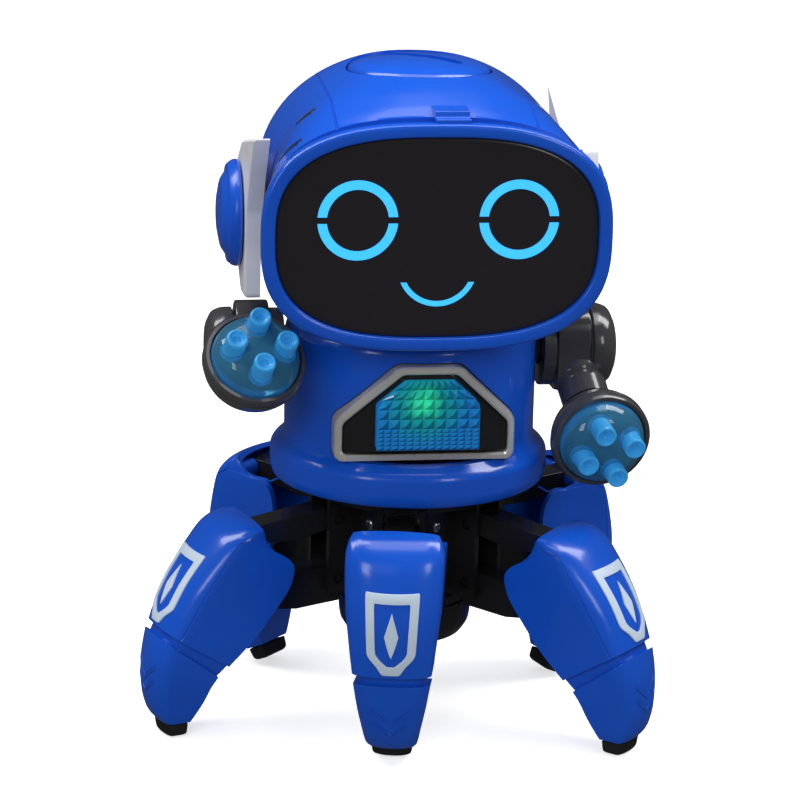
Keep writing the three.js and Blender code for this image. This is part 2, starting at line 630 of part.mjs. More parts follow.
// ---- arms ----
function shoulder(side, label) {
  const { inner, blockStart, side: blockEnd, halfDepth, halfHeight, corner } = SHOULDER;
  const disc = rod(12.6, inner, blockStart + 0.2);
  const pivot = rod(5.2, inner - 4.4, inner + 1, 12);
  const cap = turned([[0, blockEnd], [13, blockEnd], [13, 59.4], [11.6, 62.4], [8, 64], [0, 64.4]], 20);
  const outline = new THREE.Shape();
  outline.moveTo(-halfDepth + corner, -halfHeight);
  outline.lineTo(halfDepth - corner, -halfHeight).lineTo(halfDepth, -halfHeight + corner);
  outline.lineTo(halfDepth, halfHeight - corner).lineTo(halfDepth - corner, halfHeight);
  outline.lineTo(-halfDepth + corner, halfHeight).lineTo(-halfDepth, halfHeight - corner);
  outline.lineTo(-halfDepth, -halfHeight + corner);
  const block = new THREE.ExtrudeGeometry(outline, { depth: blockEnd + 0.5 - blockStart,
    bevelEnabled: false });
  block.translate(0, 0, blockStart);
  const whole = combine([disc, pivot, block, cap]).rotateY((side * Math.PI) / 2);
  const back = POD_BACK.map(([r, z]) => [r ? r + GAP : 0, z - GAP]);
  const seat = turned([...back, [POD.radius + GAP, 4], [0, 4]]);
  seat.applyMatrix4(barrelMatrix(side, label));
  return part(`${label}_shoulder`, combine([whole, podNeck(side, label)], [seat]), "smoke");
}

// Round neck from the middle of the shoulder block to the back of the pod.
function podNeck(side, label) {
  const start = new THREE.Vector3(side * 50, 0, 0);
  const along = new THREE.Vector3(0, 0, -6).applyMatrix4(barrelMatrix(side, label)).sub(start);
  const turn = new THREE.Quaternion().setFromUnitVectors(new THREE.Vector3(0, 0, 1),
    along.clone().normalize());
  const neck = rod(NECK_RADIUS, 0, along.length()).applyQuaternion(turn);
  return moved(neck, start.x, start.y, start.z);
}

function barrelPlace(side, label) {
  const yaw = rad(POD_YAW[label]);
  const across = side * SHOULDER.side + POD.forward * Math.sin(yaw);
  return { position: [across, -POD.forward * Math.cos(yaw), -POD.drop], x: 90 - POD.pitch,
    z: POD_YAW[label] };
}

function barrelMatrix(side, label) {
  const { position, x, z } = barrelPlace(side, label);
  const turn = new THREE.Quaternion().setFromEuler(new THREE.Euler(rad(x), 0, rad(z), "ZXY"));
  return new THREE.Matrix4().compose(new THREE.Vector3(...position), turn, new THREE.Vector3(1, 1, 1));
}

// Rounded cup along its own +Z axis, with the rim at local zero.
function podHousing(label) {
  const { radius, domeRadius } = POD;
  const rim = [[radius, -0.8], [radius - 0.8, 0], [domeRadius + GAP, 0], [domeRadius + GAP, -2.4]];
  const well = [[domeRadius - 2, -2.4], [domeRadius - 2, -8], [0, -8]];
  return part(`${label}_pod_housing`, turned([...POD_BACK, ...rim, ...well], 16), "smoke");
}

function podDome(label) {
  const { domeRadius } = POD;
  const dome = turned([[0, -2], [domeRadius, -2], [domeRadius, 0.4], [domeRadius - 1.2, 3], [9.6, 5.4],
    [5, 7],
    [0, 7.6]], 16);
  const nozzles = [0, 1, 2, 3].map((i) => {
    const angle = rad(20 + i * 90);
    const nozzle = turned([[0, 2], [NOZZLE.radius + 0.5, 2], [NOZZLE.radius, NOZZLE.reach - 0.6],
      [NOZZLE.radius - 0.7, NOZZLE.reach], [1.5, NOZZLE.reach], [1.2, NOZZLE.reach - 2.4], [0,
      NOZZLE.reach - 2.4]], 6);
    return moved(nozzle, NOZZLE.ring * Math.cos(angle), NOZZLE.ring * Math.sin(angle), 0);
  });
  return part(`${label}_pod_dome`, combine([dome, ...nozzles]), "clearBlue");
}

function arm(side, label, raise) {
  const barrel = group([podHousing(label), podDome(label)], barrelPlace(side, label));
  return group([shoulder(side, label), barrel], { position: [0, 0, SHOULDER.z], x: -raise });
}

// ---- assembly ----
const base = group([
  hubColumn(), hubBottomCover(), hubDeck(), driveMotor(), camDrum(), driveShaft(),
  ...LEG_NAMES.map((label, i) => leg(label, legAngles[i], i % 2 === 0)),
], { z: BASE_YAW });

const head = group([helmetShell(), faceBezel(), faceScreen(), crownDisc(), ear(-1, "left", 0),
  ear(1, "right", EAR.backTurn)]);

const upperBody = group([
  ...torsoShells(), chestFrame(), chestLens(), batteryDoor(), batteryHolder(), speaker(), mainBoard(),
    neckCollar(),
  powerSwitch(), head, arm(-1, "left", LEFT_ARM_RAISE), arm(1, "right", 0),
], { z: WAIST_YAW });

const robot = new THREE.Group();
robot.add(base, upperBody);
robot.updateMatrixWorld(true);
const bounds = new THREE.Box3().setFromObject(robot, true);
const middle = bounds.getCenter(new THREE.Vector3());
robot.position.set(-middle.x, -middle.y, -bounds.min.z);
robot.updateMatrixWorld(true);

export default robot;
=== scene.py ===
"""Looks of the toy robot: smooth detailed skins, materials, floor, light and camera around the CAD frame.

Shapes are made in millimetres, in the frame of the upper body, leg, arm or ear that they belong to.
piece() places them in the shared frame, in metres.
"""
import json
import math

import bmesh
import bpy
from mathutils import Matrix, Vector


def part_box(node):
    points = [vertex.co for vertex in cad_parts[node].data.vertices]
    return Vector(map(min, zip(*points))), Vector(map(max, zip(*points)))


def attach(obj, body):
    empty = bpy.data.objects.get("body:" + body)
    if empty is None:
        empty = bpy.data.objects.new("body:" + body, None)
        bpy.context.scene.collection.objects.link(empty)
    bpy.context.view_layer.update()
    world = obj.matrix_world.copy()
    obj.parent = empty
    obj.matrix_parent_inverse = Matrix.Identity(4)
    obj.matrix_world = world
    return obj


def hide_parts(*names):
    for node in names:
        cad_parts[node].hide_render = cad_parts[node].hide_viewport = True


MM = 0.001

# Driving dimensions in millimetres and degrees, the same as the CAD's.
BASE_YAW = -3
WAIST_YAW = 8.5
LEG_NAMES = ["front", "right_front", "right_rear", "rear", "left_rear", "left_front"]
LEG_STEP = 60
ARM = {"pivot": 27, "length": 30, "height": 64, "swing": 5.75}
LEG_LEAN = 25
HIP_REACH = ARM["pivot"] + ARM["length"] * math.cos(math.radians(ARM["swing"]))
HIP_RISE = ARM["length"] * math.sin(math.radians(ARM["swing"]))
WALL = 2.1
TORSO = {"radius": 39, "top": 124.6, "flange": 43.3, "bottom": 74.2, "flange_top": 85.5, "floor": 78.5}
COLLAR = {"radius": 15, "flange": 19, "bottom": 118, "flange_bottom": 131, "top": 137}
CHEST = {
    "front": 43, "floor": 27, "bottom": 88, "shoulder": 101, "top": 119, "half": 27.6, "top_half": 9.6,
    "band": 2.3,
}
LENS = {"bottom": 92.6, "shoulder": 107, "top": 114.8, "half": 15.6, "top_half": 7.2}
FACE = {"seam": -44, "front": -51, "half": 51.8, "height": 33.8, "centre": 159.6, "power": 2.75, "rim": 4.2}
LATCH = {"left": -1.5, "right": 8.7}
SCREEN_Y = -49.4
EYE = {"x": 23.7, "z": 165, "outer": 11.8, "inner": 9.05, "gap": 0.95}
MOUTH = {"z": 151.1, "outer": 11.8, "inner": 10.2, "corner": 146.5}
CROWN = {
    "radius": 21.6, "y": -4.5, "base": 201.2, "top": 206.4,
    "slot_turn": -38, "slot_half": 14.5, "slot_width": 4.2,
}
EAR = {
    "z": 157.7, "plate": 50.2, "thickness": 3.2, "cap": 16.3, "cap_side": 53.8, "back_turn": -105,
    "hole": 6.3,
}
SHOULDER_Z = 115
SHOULDER = {"half_depth": 12.4, "half_height": 13.4, "inner": 40.2, "block": 44.4, "cap": 54.8}
LEFT_ARM_RAISE = 54.6
POD = {"side": 54.5, "forward": 25, "drop": 24.8, "pitch": -11.2, "radius": 15.6, "dome": 13.4, "neck": 7.6}
POD_BACK = [(0, -17), (7, -15.8), (11.4, -12.6), (14.2, -8.4), (15.6, -4)]
POD_YAW = {"left": 7, "right": 5}
NOZZLE_RING = {"radius": 7.6, "count": 4, "left_turn": 3, "right_turn": 20}
DOOR = {"half": 20, "bottom": 90, "top": 114, "gap": 0.35, "screw": 110.6}
VENTS = {"count": 5, "bottom": 94.5, "pitch": 1.8, "half_turn": 10, "radius": 0.45}
SWITCH_SLOT = {"half": 4.8, "bottom": 117.35, "top": 120.65}
HUB_SCREW_HEIGHTS = (46, 62)

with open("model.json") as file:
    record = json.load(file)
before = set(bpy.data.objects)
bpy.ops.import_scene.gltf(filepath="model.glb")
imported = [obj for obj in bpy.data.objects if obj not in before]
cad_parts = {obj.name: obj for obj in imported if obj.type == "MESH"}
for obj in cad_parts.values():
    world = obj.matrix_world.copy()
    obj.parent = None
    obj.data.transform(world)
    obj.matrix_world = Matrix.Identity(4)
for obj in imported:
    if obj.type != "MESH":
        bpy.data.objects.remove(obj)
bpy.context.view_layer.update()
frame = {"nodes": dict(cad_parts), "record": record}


# ---- places ----
def turn(degrees, axis="Z"):
    return Matrix.Rotation(math.radians(degrees), 4, axis)


def shift(x, y, z):
    return Matrix.Translation((x, y, z))


def hub_axis():
    low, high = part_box("hub_bottom_cover")
    return shift((low.x + high.x) / 2 / MM, (low.y + high.y) / 2 / MM, 0)


HUB = hub_axis()
UPPER = HUB @ turn(WAIST_YAW)


def leg_place(index):
    """Frame of a leg's shells: reach is towards -Y, and raised legs also lean in."""
    raised = index % 2 == 0
    low = ARM["height"] - HIP_RISE
    hip = shift(0, -HIP_REACH, ARM["height"] + HIP_RISE if raised else low)
    lean = turn(LEG_LEAN if raised else 0, "X")
    return HUB @ turn(BASE_YAW + LEG_STEP * index) @ hip @ lean @ shift(0, HIP_REACH, -low)


def arm_place(side):
    return UPPER @ shift(0, 0, SHOULDER_Z) @ turn(-LEFT_ARM_RAISE if side < 0 else 0, "X")


def pod_place(side):
    yaw = POD_YAW["left" if side < 0 else "right"]
    across = side * POD["side"] + POD["forward"] * math.sin(math.radians(yaw))
    forward = -POD["forward"] * math.cos(math.radians(yaw))
    return arm_place(side) @ shift(across, forward, -POD["drop"]) @ turn(yaw) @ turn(90 - POD["pitch"], "X")


def ear_place(side):
    return UPPER @ shift(0, 0, EAR["z"]) @ turn(EAR["back_turn"] if side > 0 else 0, "X")


# ---- shapes: (points, faces) in millimetres ----
def together(*shapes):
    points, faces = [], []
    for some_points, some_faces in shapes:
        start = len(points)
        points += some_points
        faces += [tuple(start + i for i in face) for face in some_faces]
    return points, faces


def placed(shape, matrix):
    return [matrix @ Vector(point) for point in shape[0]], shape[1]


def soften(points, radius, closed=True, steps=3):
    """Rounds the corners of a 2-D outline."""
    result = []
    count = len(points)
    for i, point in enumerate(points):
        if not closed and i in (0, count - 1):
            result.append(tuple(point))
            continue
        here = Vector(point)
        before = Vector(points[i - 1]) - here
        after = Vector(points[(i + 1) % count]) - here
        reach = min(radius, before.length * 0.45, after.length * 0.45)
        start = here + before.normalized() * reach
        end = here + after.normalized() * reach
        for step in range(steps + 1):
            t = step / steps
            result.append(tuple(start.lerp(here, t).lerp(here.lerp(end, t), t)))
    return result


def loft(rings, loop=False):
    """Skin over rings with the same number of points, closed by its ends or round to the first ring."""
    count = len(rings[0])
    points = [Vector(point) for ring in rings for point in ring]
    faces = []
    for i in range(len(rings) if loop else len(rings) - 1):
        here, there = i * count, ((i + 1) % len(rings)) * count
        for j in range(count):
            k = (j + 1) % count
            faces.append((here + j, here + k, there + k, there + j))
    if not loop:
        last = (len(rings) - 1) * count
        faces += [tuple(range(count)), tuple(range(last, last + count))]
    return points, faces


def lathe(profile, segments=64, ring=False, start=0, sweep=360):
    """Turned solid about Z from (radius, height) points, whole or a part of a turn."""
    whole = sweep == 360
    columns = segments if whole else segments + 1
    points = []
    for i in range(columns):
        angle = math.radians(start + sweep * i / segments)
        points += [Vector((r * math.cos(angle), r * math.sin(angle), z)) for r, z in profile]
    rows = len(profile)
    faces = []
    for i in range(segments):
        here, there = i * rows, ((i + 1) % columns) * rows
        for j in range(rows if ring else rows - 1):
            k = (j + 1) % rows
            faces.append((here + j, there + j, there + k, here + k))
    if not whole:
        faces += [tuple(range(rows)), tuple(range(segments * rows, segments * rows + rows))]
    return points, faces


def rod(radius, z0, z1, segments=32, edge=0.3):
    profile = [(0, z0), (radius, z0), (radius, z1), (0, z1)]
    return lathe(soften(profile, edge, closed=False), segments)


def cross_rod(radius, half, y=0, z=0, segments=24):
    return placed(rod(radius, -half, half, segments), shift(0, y, z) @ turn(90, "Y"))


def block(x0, x1, y0, y1, z0, z1):
    corners = [(x0, z0), (x1, z0), (x1, z1), (x0, z1)]
    return plate(corners, y0, y1)


def plate(outline, y0, y1):
    """Outline in the X-Z plane between two depths."""
    return loft([[(x, y, z) for x, z in outline] for y in (y0, y1)])


def side_plate(outline, x0, x1):
    """Outline of (reach, height) points, with reach towards -Y, between two widths."""
    return loft([[(x, -reach, z) for reach, z in outline] for x in (x0, x1)])


def tube(path, radius, sides=8):
    """Round rod along a path of points."""
    path = [Vector(point) for point in path]
    rings = []
    for i, point in enumerate(path):
        along = (path[min(i + 1, len(path) - 1)] - path[max(i - 1, 0)]).normalized()
        helper = Vector((0, 0, 1)) if abs(along.z) < 0.9 else Vector((1, 0, 0))
        across = along.cross(helper).normalized()
        up = across.cross(along)
        angles = [2 * math.pi * j / sides for j in range(sides)]
        rings.append([point + (across * math.cos(a) + up * math.sin(a)) * radius for a in angles])
    return loft(rings)


def curve_value(a, b, c, d, t):
    """Smooth curve through four numbers, at the share t from the second to the third."""
    square = (2 * a - 5 * b + 4 * c - d) * t * t
    return 0.5 * (2 * b + (c - a) * t + square + (3 * b - a - 3 * c + d) * t ** 3)


def spline(rows, steps):
    """Smooth rows between the given rows of numbers."""
    result = []
    for i in range(len(rows) - 1):
        before, here = rows[max(i - 1, 0)], rows[i]
        there, after = rows[i + 1], rows[min(i + 2, len(rows) - 1)]
        for step in range(steps):
            t = step / steps
            result.append([curve_value(*four, t) for four in zip(before, here, there, after)])
    return result + [list(rows[-1])]


def oval(y, half, height, centre, power, count=96):
    """Superellipse ring at one depth, squarer as the power grows."""
    points = []
    for i in range(count):
        angle = 2 * math.pi * i / count
        c, s = math.cos(angle), math.sin(angle)
        x = half * math.copysign(abs(c) ** (2 / power), c)
        z = height * math.copysign(abs(s) ** (2 / power), s)
        points.append((x, y, centre + z))
    return points


# ---- pieces ----
def mesh_object(name, shape, place):
    mesh = bpy.data.meshes.new(name)
    builder = bmesh.new()
    vertices = [builder.verts.new((place @ Vector(point)) * MM) for point in shape[0]]
    for face in shape[1]:
        builder.faces.new([vertices[i] for i in face])
    bmesh.ops.remove_doubles(builder, verts=builder.verts, dist=1e-6)
    bmesh.ops.recalc_face_normals(builder, faces=builder.faces)
    builder.to_mesh(mesh)
    builder.free()
    thing = bpy.data.objects.new(name, mesh)
    bpy.context.scene.collection.objects.link(thing)
    return thing


def bake(thing):
    """Makes the modifiers part of the mesh."""
    graph = bpy.context.evaluated_depsgraph_get()
    mesh = bpy.data.meshes.new_from_object(thing.evaluated_get(graph))
    thing.modifiers.clear()
    old = thing.data
    thing.data = mesh
    bpy.data.meshes.remove(old)
    mesh.name = thing.name


def carve(thing, shape, place, operation="DIFFERENCE"):
    """Cuts one closed shape out of a piece, or keeps only what lies inside it."""
    cutter = mesh_object("cutter", shape, place)
    modifier = thing.modifiers.new("carve", "BOOLEAN")
    modifier.operation = operation
    modifier.solver = "EXACT"
    modifier.object = cutter
    bake(thing)
    mesh = cutter.data
    bpy.data.objects.remove(cutter)
    bpy.data.meshes.remove(mesh)


def round_edges(thing, width, segments=2):
    modifier = thing.modifiers.new("edges", "BEVEL")
    modifier.width = width * MM
    modifier.segments = segments
    modifier.limit_method = "ANGLE"
    modifier.angle_limit = math.radians(32)
    modifier.use_clamp_overlap = True
    bake(thing)


def finish_piece(thing, material, body, slot, replaces=(), bevel=0, crease=38):
    """Gives a piece its edges, material and smooth shading, and puts it on its body."""
    if bevel:
        round_edges(thing, bevel)
    thing.data.materials.clear()
    thing.data.materials.append(material)
    thing.data.shade_smooth()
    thing.data.set_sharp_from_angle(angle=math.radians(crease))
    weights = thing.modifiers.new("normals", "WEIGHTED_NORMAL")
    weights.keep_sharp = True
    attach(thing, body)
    if replaces:
        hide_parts(*replaces)
    return thing


def piece(name, shape, place, material, body, slot, cuts=(), **finish):
    thing = mesh_object(name, shape, place)
    for cut in cuts:
        carve(thing, cut, place)
    return finish_piece(thing, material, body, slot, **finish)


def polished(node, material, body, slot, bevel=0.35):
    """Copy of a hard-edged CAD node with rounded edges, in its place."""
    source = frame["nodes"][node]
    thing = bpy.data.objects.new(node + "_detail", source.data.copy())
    bpy.context.scene.collection.objects.link(thing)
    builder = bmesh.new()
    builder.from_mesh(thing.data)
    bmesh.ops.remove_doubles(builder, verts=builder.verts, dist=2e-6)
    bmesh.ops.dissolve_limit(builder, angle_limit=math.radians(2), verts=builder.verts, edges=builder.edges)
    builder.to_mesh(thing.data)
    builder.free()
    return finish_piece(thing, material, body, slot, replaces=[node], bevel=bevel)


# ---- materials ----
def new_material(name):
    material = bpy.data.materials.new(name)
    material.use_nodes = True
    nodes = material.node_tree.nodes
    return material, nodes, material.node_tree.links, nodes["Principled BSDF"]


def put(node, values):
    """Sets sockets by name."""
    for name, value in values.items():
        node.inputs[name].default_value = value


def noise(nodes, links, scale):
    place = nodes.new("ShaderNodeTexCoord")
    texture = nodes.new("ShaderNodeTexNoise")
    put(texture, {"Scale": scale, "Detail": 3})
    links.new(place.outputs["Object"], texture.inputs["Vector"])
    return texture.outputs["Fac"]


def spread(nodes, links, value, low, high, first=0.3, last=0.7):
    """Maps the middle of a noise, or another range, to a range of numbers."""
    node = nodes.new("ShaderNodeMapRange")
    put(node, {"From Min": first, "From Max": last, "To Min": low, "To Max": high})
    links.new(value, node.inputs["Value"])
    return node.outputs["Result"]


def moulded(name, color, roughness, grain=900, relief=0.02, coat=0.0, change=0.06, metallic=0.0):
    """Plastic, rubber or paint: slight changes of colour and gloss, and a fine surface relief."""
    material, nodes, links, shader = new_material(name)
    ramp = nodes.new("ShaderNodeValToRGB")
    ramp.color_ramp.elements[0].position = 0.35
    ramp.color_ramp.elements[1].position = 0.65
    ramp.color_ramp.elements[0].color = [c * (1 - change) for c in color] + [1]
    ramp.color_ramp.elements[1].color = [min(c * (1 + change), 1) for c in color] + [1]
    links.new(noise(nodes, links, 22), ramp.inputs["Fac"])
    links.new(ramp.outputs["Color"], shader.inputs["Base Color"])
    gloss = spread(nodes, links, noise(nodes, links, 65), roughness * 0.8, roughness * 1.25)
    links.new(gloss, shader.inputs["Roughness"])
    bump = nodes.new("ShaderNodeBump")
    put(bump, {"Strength": relief, "Distance": 0.0004})
    links.new(noise(nodes, links, grain), bump.inputs["Height"])
    links.new(bump.outputs["Normal"], shader.inputs["Normal"])
    put(shader, {"Metallic": metallic, "Coat Weight": coat, "Coat Roughness": 0.06})
    return material


def glow(name, color, strength):
    """Lit display segments with a slight unevenness."""
    material, nodes, links, shader = new_material(name)
    put(shader, {"Base Color": (*color, 1), "Emission Color": (*color, 1), "Roughness": 0.4})
    level = spread(nodes, links, noise(nodes, links, 500), strength * 0.94, strength * 1.06)
    links.new(level, shader.inputs["Emission Strength"])
    return material


def clear_plastic(name, color, transmission, roughness, glow_strength=0.0):
    material, nodes, links, shader = new_material(name)
    put(shader, {"Base Color": (*color, 1), "Transmission Weight": transmission, "IOR": 1.49})
    put(shader, {"Emission Color": (*color, 1), "Emission Strength": glow_strength})
    gloss = spread(nodes, links, noise(nodes, links, 90), roughness * 0.7, roughness * 1.3)
    links.new(gloss, shader.inputs["Roughness"])
    return material


LAMP_SPOT = (-1.5, -41, 107.5)
LAMP_STOPS = [
    (0.12, (0.03, 0.62, 0.30, 1)), (0.4, (0.006, 0.20, 0.20, 1)), (0.75, (0.008, 0.12, 0.34, 1)),
]
# Direction of the painted light on the lens facets.
PAINTED_FACET_LIGHT_FROM = (-0.55, 0, 0.83)


def lamp_colour(nodes, links):
    """Green near the lamp and blue further off, with a slight scatter."""
    place = nodes.new("ShaderNodeTexCoord")
    distance = nodes.new("ShaderNodeVectorMath")
    distance.operation = "DISTANCE"
    distance.inputs[1].default_value = (UPPER @ Vector(LAMP_SPOT)) * MM
    links.new(place.outputs["Object"], distance.inputs[0])
    scatter = nodes.new("ShaderNodeMath")
    scatter.operation = "MULTIPLY_ADD"
    links.new(noise(nodes, links, 420), scatter.inputs[0])
    scatter.inputs[1].default_value = 0.006
    links.new(distance.outputs["Value"], scatter.inputs[2])
    ramp = nodes.new("ShaderNodeValToRGB")
    ramp.color_ramp.elements.new(0.42)
    for element, (position, color) in zip(ramp.color_ramp.elements, LAMP_STOPS):
        element.position = position
        element.color = color
    scale = nodes.new("ShaderNodeMath")
    scale.operation = "MULTIPLY"
    scale.inputs[1].default_value = 45
    links.new(scatter.outputs["Value"], scale.inputs[0])
    links.new(scale.outputs["Value"], ramp.inputs["Fac"])
    return ramp.outputs["Color"]


def painted_facet_light(nodes, links):
    """Painted light and shade on the facets: the glow is bright where a facet faces up and to the left, and
    stays dark on the others.
    """
    facing = nodes.new("ShaderNodeNewGeometry")
    slope = nodes.new("ShaderNodeVectorMath")
    slope.operation = "DOT_PRODUCT"
    slope.inputs[1].default_value = PAINTED_FACET_LIGHT_FROM
    links.new(facing.outputs["Normal"], slope.inputs[0])
    return spread(nodes, links, slope.outputs["Value"], 0.02, 0.75, -0.45, 0.55)


def lens_plastic():
    """Blue prism lens with a green lamp behind its upper middle."""
    material, nodes, links, shader = new_material("lens_prisms")
    color = lamp_colour(nodes, links)
    links.new(color, shader.inputs["Base Color"])
    links.new(color, shader.inputs["Emission Color"])
    # How bright each facet glows is painted light and shade, set by which way the facet faces.
    links.new(painted_facet_light(nodes, links), shader.inputs["Emission Strength"])
    put(shader, {"Roughness": 0.1, "Coat Weight": 0.4})
    return material


BLUE = moulded("gloss_blue", (0.006, 0.082, 0.55), 0.2, coat=0.25)
BLACK = moulded("gloss_black", (0.012, 0.012, 0.013), 0.22, coat=0.2)
MATTE_BLACK = moulded("matte_black", (0.015, 0.015, 0.015), 0.5, relief=0.1)
SMOKE = moulded("smoke_grey", (0.05, 0.05, 0.055), 0.2, coat=0.5)
SCREEN = moulded("tinted_screen", (0.017, 0.015, 0.018), 0.2, relief=0.005)
SILVER = moulded("silver_paint", (0.50, 0.49, 0.47), 0.26, metallic=0.3, relief=0.04, coat=0.4)
BADGE = moulded("badge_paint", (0.52, 0.62, 0.74), 0.35, grain=1600, relief=0.12)
WHITE = moulded("satin_white", (0.74, 0.74, 0.78), 0.33, relief=0.05)
RUBBER = moulded("foot_rubber", (0.012, 0.012, 0.013), 0.75, grain=1500, relief=0.4)
STEEL = moulded("plated_steel", (0.56, 0.57, 0.6), 0.3, metallic=1.0)
ACETAL = moulded("white_acetal", (0.8, 0.8, 0.77), 0.4)
BOARD = moulded("board_green", (0.02, 0.15, 0.06), 0.45, relief=0.1)
CYAN = glow("display_cyan", (0.035, 0.40, 0.93), 0.85)
DOME = clear_plastic("clear_dome", (0.10, 0.42, 0.66), 0.75, 0.05, 0.0)
# The nozzles glow faintly though no lamp is inside them: a painted glow that brightens them.
NOZZLE = clear_plastic("nozzle_painted_glow", (0.05, 0.40, 0.80), 0.35, 0.1, 0.12)
LENS_BLUE = lens_plastic()
SLOTS = {
    "body_blue": BLUE, "black_gloss": BLACK, "inner_black": MATTE_BLACK, "arm_smoke": SMOKE,
    "screen_black": SCREEN, "chest_silver": SILVER, "fin_white": WHITE, "clear_blue": DOME,
    "foot_rubber": RUBBER, "cam_acetal": ACETAL, "steel": STEEL, "board_green": BOARD,
}


def dress_cad_nodes():
    for row in frame["record"]["subparts"]:
        thing = frame["nodes"][row["node"]]
        thing.data.materials.clear()
        thing.data.materials.append(SLOTS[row["material_slot"]])


# ---- head ----
# Rows of the helmet from the bezel seam to the back: depth, half width, half height, centre height, power.
HELMET_PEAK = 206.35
HELMET = spline([
    [-44, 50.6, 34, 160.2, 2.65], [-38, 49.6, 36, 161.6, 2.5], [-28, 47.6, 38.2, 164.2, 2.3],
    [-16, 46.4, 39.2, 166, 2.15], [-2, 46.8, 39.6, 166.8, 2.1], [12, 47.2, 39.2, 166.8, 2.1],
    [24, 44.4, 36.6, 166.4, 2.1], [34, 37.4, 31.4, 165.8, 2.1], [41, 27.6, 24, 165.2, 2],
    [45.6, 15, 14, 165, 2], [47, 6, 6, 165, 2],
], 5)


def helmet_station(y):
    for before, after in zip(HELMET, HELMET[1:]):
        if before[0] <= y <= after[0]:
            t = (y - before[0]) / (after[0] - before[0])
            return [a + (b - a) * t for a, b in zip(before, after)]
    return HELMET[0] if y < HELMET[0][0] else HELMET[-1]


def helmet_top(x, y):
    _, half, height, centre, power = helmet_station(y)
    return centre + height * max(1 - (abs(x) / half) ** power, 0) ** (1 / power)


def helmet_side(y, z):
    _, half, height, centre, power = helmet_station(y)
    return half * max(1 - (abs(z - centre) / height) ** power, 0) ** (1 / power)


# Vent slits as (depth, height) points on the helmet's side.
SLITS = [
    [(-40, 186.5), (-38, 182.5), (-37, 180)], [(-26, 193), (-24.5, 190.5), (-23.5, 188.5)],
    [(-20, 180), (-20, 170), (-21, 162)],
]
SEAM_SIDE = 29.5


def disc_cutter(radius, low, high, segments):
    return lathe([(0, low), (radius, low), (radius, high), (0, high)], segments)


def collar_pocket():
    """Space that the neck collar turns in."""
    neck, flange = COLLAR["radius"] + 0.4, COLLAR["flange"] + 0.6
    bottom, step, top = COLLAR["bottom"], COLLAR["flange_bottom"], COLLAR["top"]
    return lathe([(0, bottom), (neck, bottom), (neck, step), (flange, step), (flange, top), (0, top)], 48)


def slit(side, path, lift, radius):
    return tube([(side * (helmet_side(y, z) + lift), y, z) for y, z in path], radius)


def make_helmet():
    rings = [oval(y, half, height, min(centre, HELMET_PEAK - height), power)
             for y, half, height, centre, power in HELMET]
    recess = placed(disc_cutter(22.2, 200.8, 215, 96), shift(0, CROWN["y"], 0))
    cuts = [collar_pocket(), recess]
    shades = []
    for side in (-1, 1):
        ear_hole = disc_cutter(EAR["hole"], 40, 60, 32)
        cuts.append(placed(ear_hole, shift(0, 0, EAR["z"]) @ turn(90 * side, "Y")))
        seam = [(side * SEAM_SIDE, y, helmet_top(SEAM_SIDE, y)) for y in range(-46, 31, 2)]
        cuts.append(tube(seam, 0.5))
        cuts += [slit(side, path, 0.2, 1.5) for path in SLITS]
        # The dark tubes at the bottom of each vent slit are painted shade.
        shades += [slit(side, path, -1.6, 1.35) for path in SLITS]
    piece("helmet", loft(rings), UPPER, BLUE, "head", "body_blue", cuts,
          replaces=["helmet_shell"], bevel=0.25)
    piece("helmet_slots", together(*shades), UPPER, MATTE_BLACK, "head", "inner_black")


def face_ring(y, inset):
    half, height = FACE["half"] - inset, FACE["height"] - inset
    return oval(y, half, height, FACE["centre"], FACE["power"], 128)


def make_bezel():
    seam, front, rim = FACE["seam"] - 0.35, FACE["front"], FACE["rim"]
    steps = [(seam, 1.2), (seam - 0.5, 0.5), (front + 2.6, 0), (front + 1.2, 0.12), (front + 0.4, 0.6),
             (front, 1.4), (front, rim - 1.1), (front + 0.35, rim - 0.35), (front + 1, rim), (seam, rim)]
    shell = loft([face_ring(y, inset) for y, inset in steps], loop=True)
    piece("face_rim", shell, UPPER, BLUE, "head", "body_blue", replaces=["face_bezel"], bevel=0.2)


def make_latch():
    """Stepped tab on the bezel's upper lip."""
    lip = FACE["centre"] + FACE["height"]
    side = [(49.7, lip - 2.2), (49.7, lip + 1), (47.6, lip + 1.3), (47.2, lip + 3.1), (39.6, lip + 3.6),
            (38, lip + 2.6), (38, lip - 2.2)]
    tab = side_plate(soften(side, 0.5), LATCH["left"], LATCH["right"])
    piece("face_latch", tab, UPPER, BLUE, "head", "body_blue", bevel=0.4)


def make_screen():
    inset = FACE["rim"] + 0.1
    steps = [(3, 0), (0.5, 0), (0.1, 0.4), (0, 1.2)]
    window = loft([face_ring(SCREEN_Y + back, inset + step) for back, step in steps])
    piece("face_window", window, UPPER, SCREEN, "head", "screen_black", replaces=["face_screen"])


def arc(radius, cut, sign, centre_x, centre_z, steps=28):
    """Points of a circle above or below a level cut."""
    first = math.asin(cut / radius)
    angles = [first + (sign * math.pi - 2 * first) * i / steps for i in range(steps + 1)]
    return [(centre_x + radius * math.cos(a), centre_z + radius * math.sin(a)) for a in angles]


def arc_band(outer, inner, cut, sign, centre_x, centre_z):
    """Part of a ring, above or below a level cut, as a thin plate on the screen."""
    outline = arc(outer, cut, sign, centre_x, centre_z) + arc(inner, cut, sign, centre_x, centre_z)[::-1]
    front = [(x, SCREEN_Y - 0.12, z) for x, z in outline]
    back = [(x, SCREEN_Y + 0.2, z) for x, z in outline]
    count = len(outline)
    half = count // 2
    faces = []
    for i in range(count):
        faces.append((i, (i + 1) % count, count + (i + 1) % count, count + i))
    for i in range(half - 1):
        quad = (i, i + 1, count - 2 - i, count - 1 - i)
        faces += [quad, tuple(count + j for j in quad)]
    return [Vector(point) for point in front + back], faces


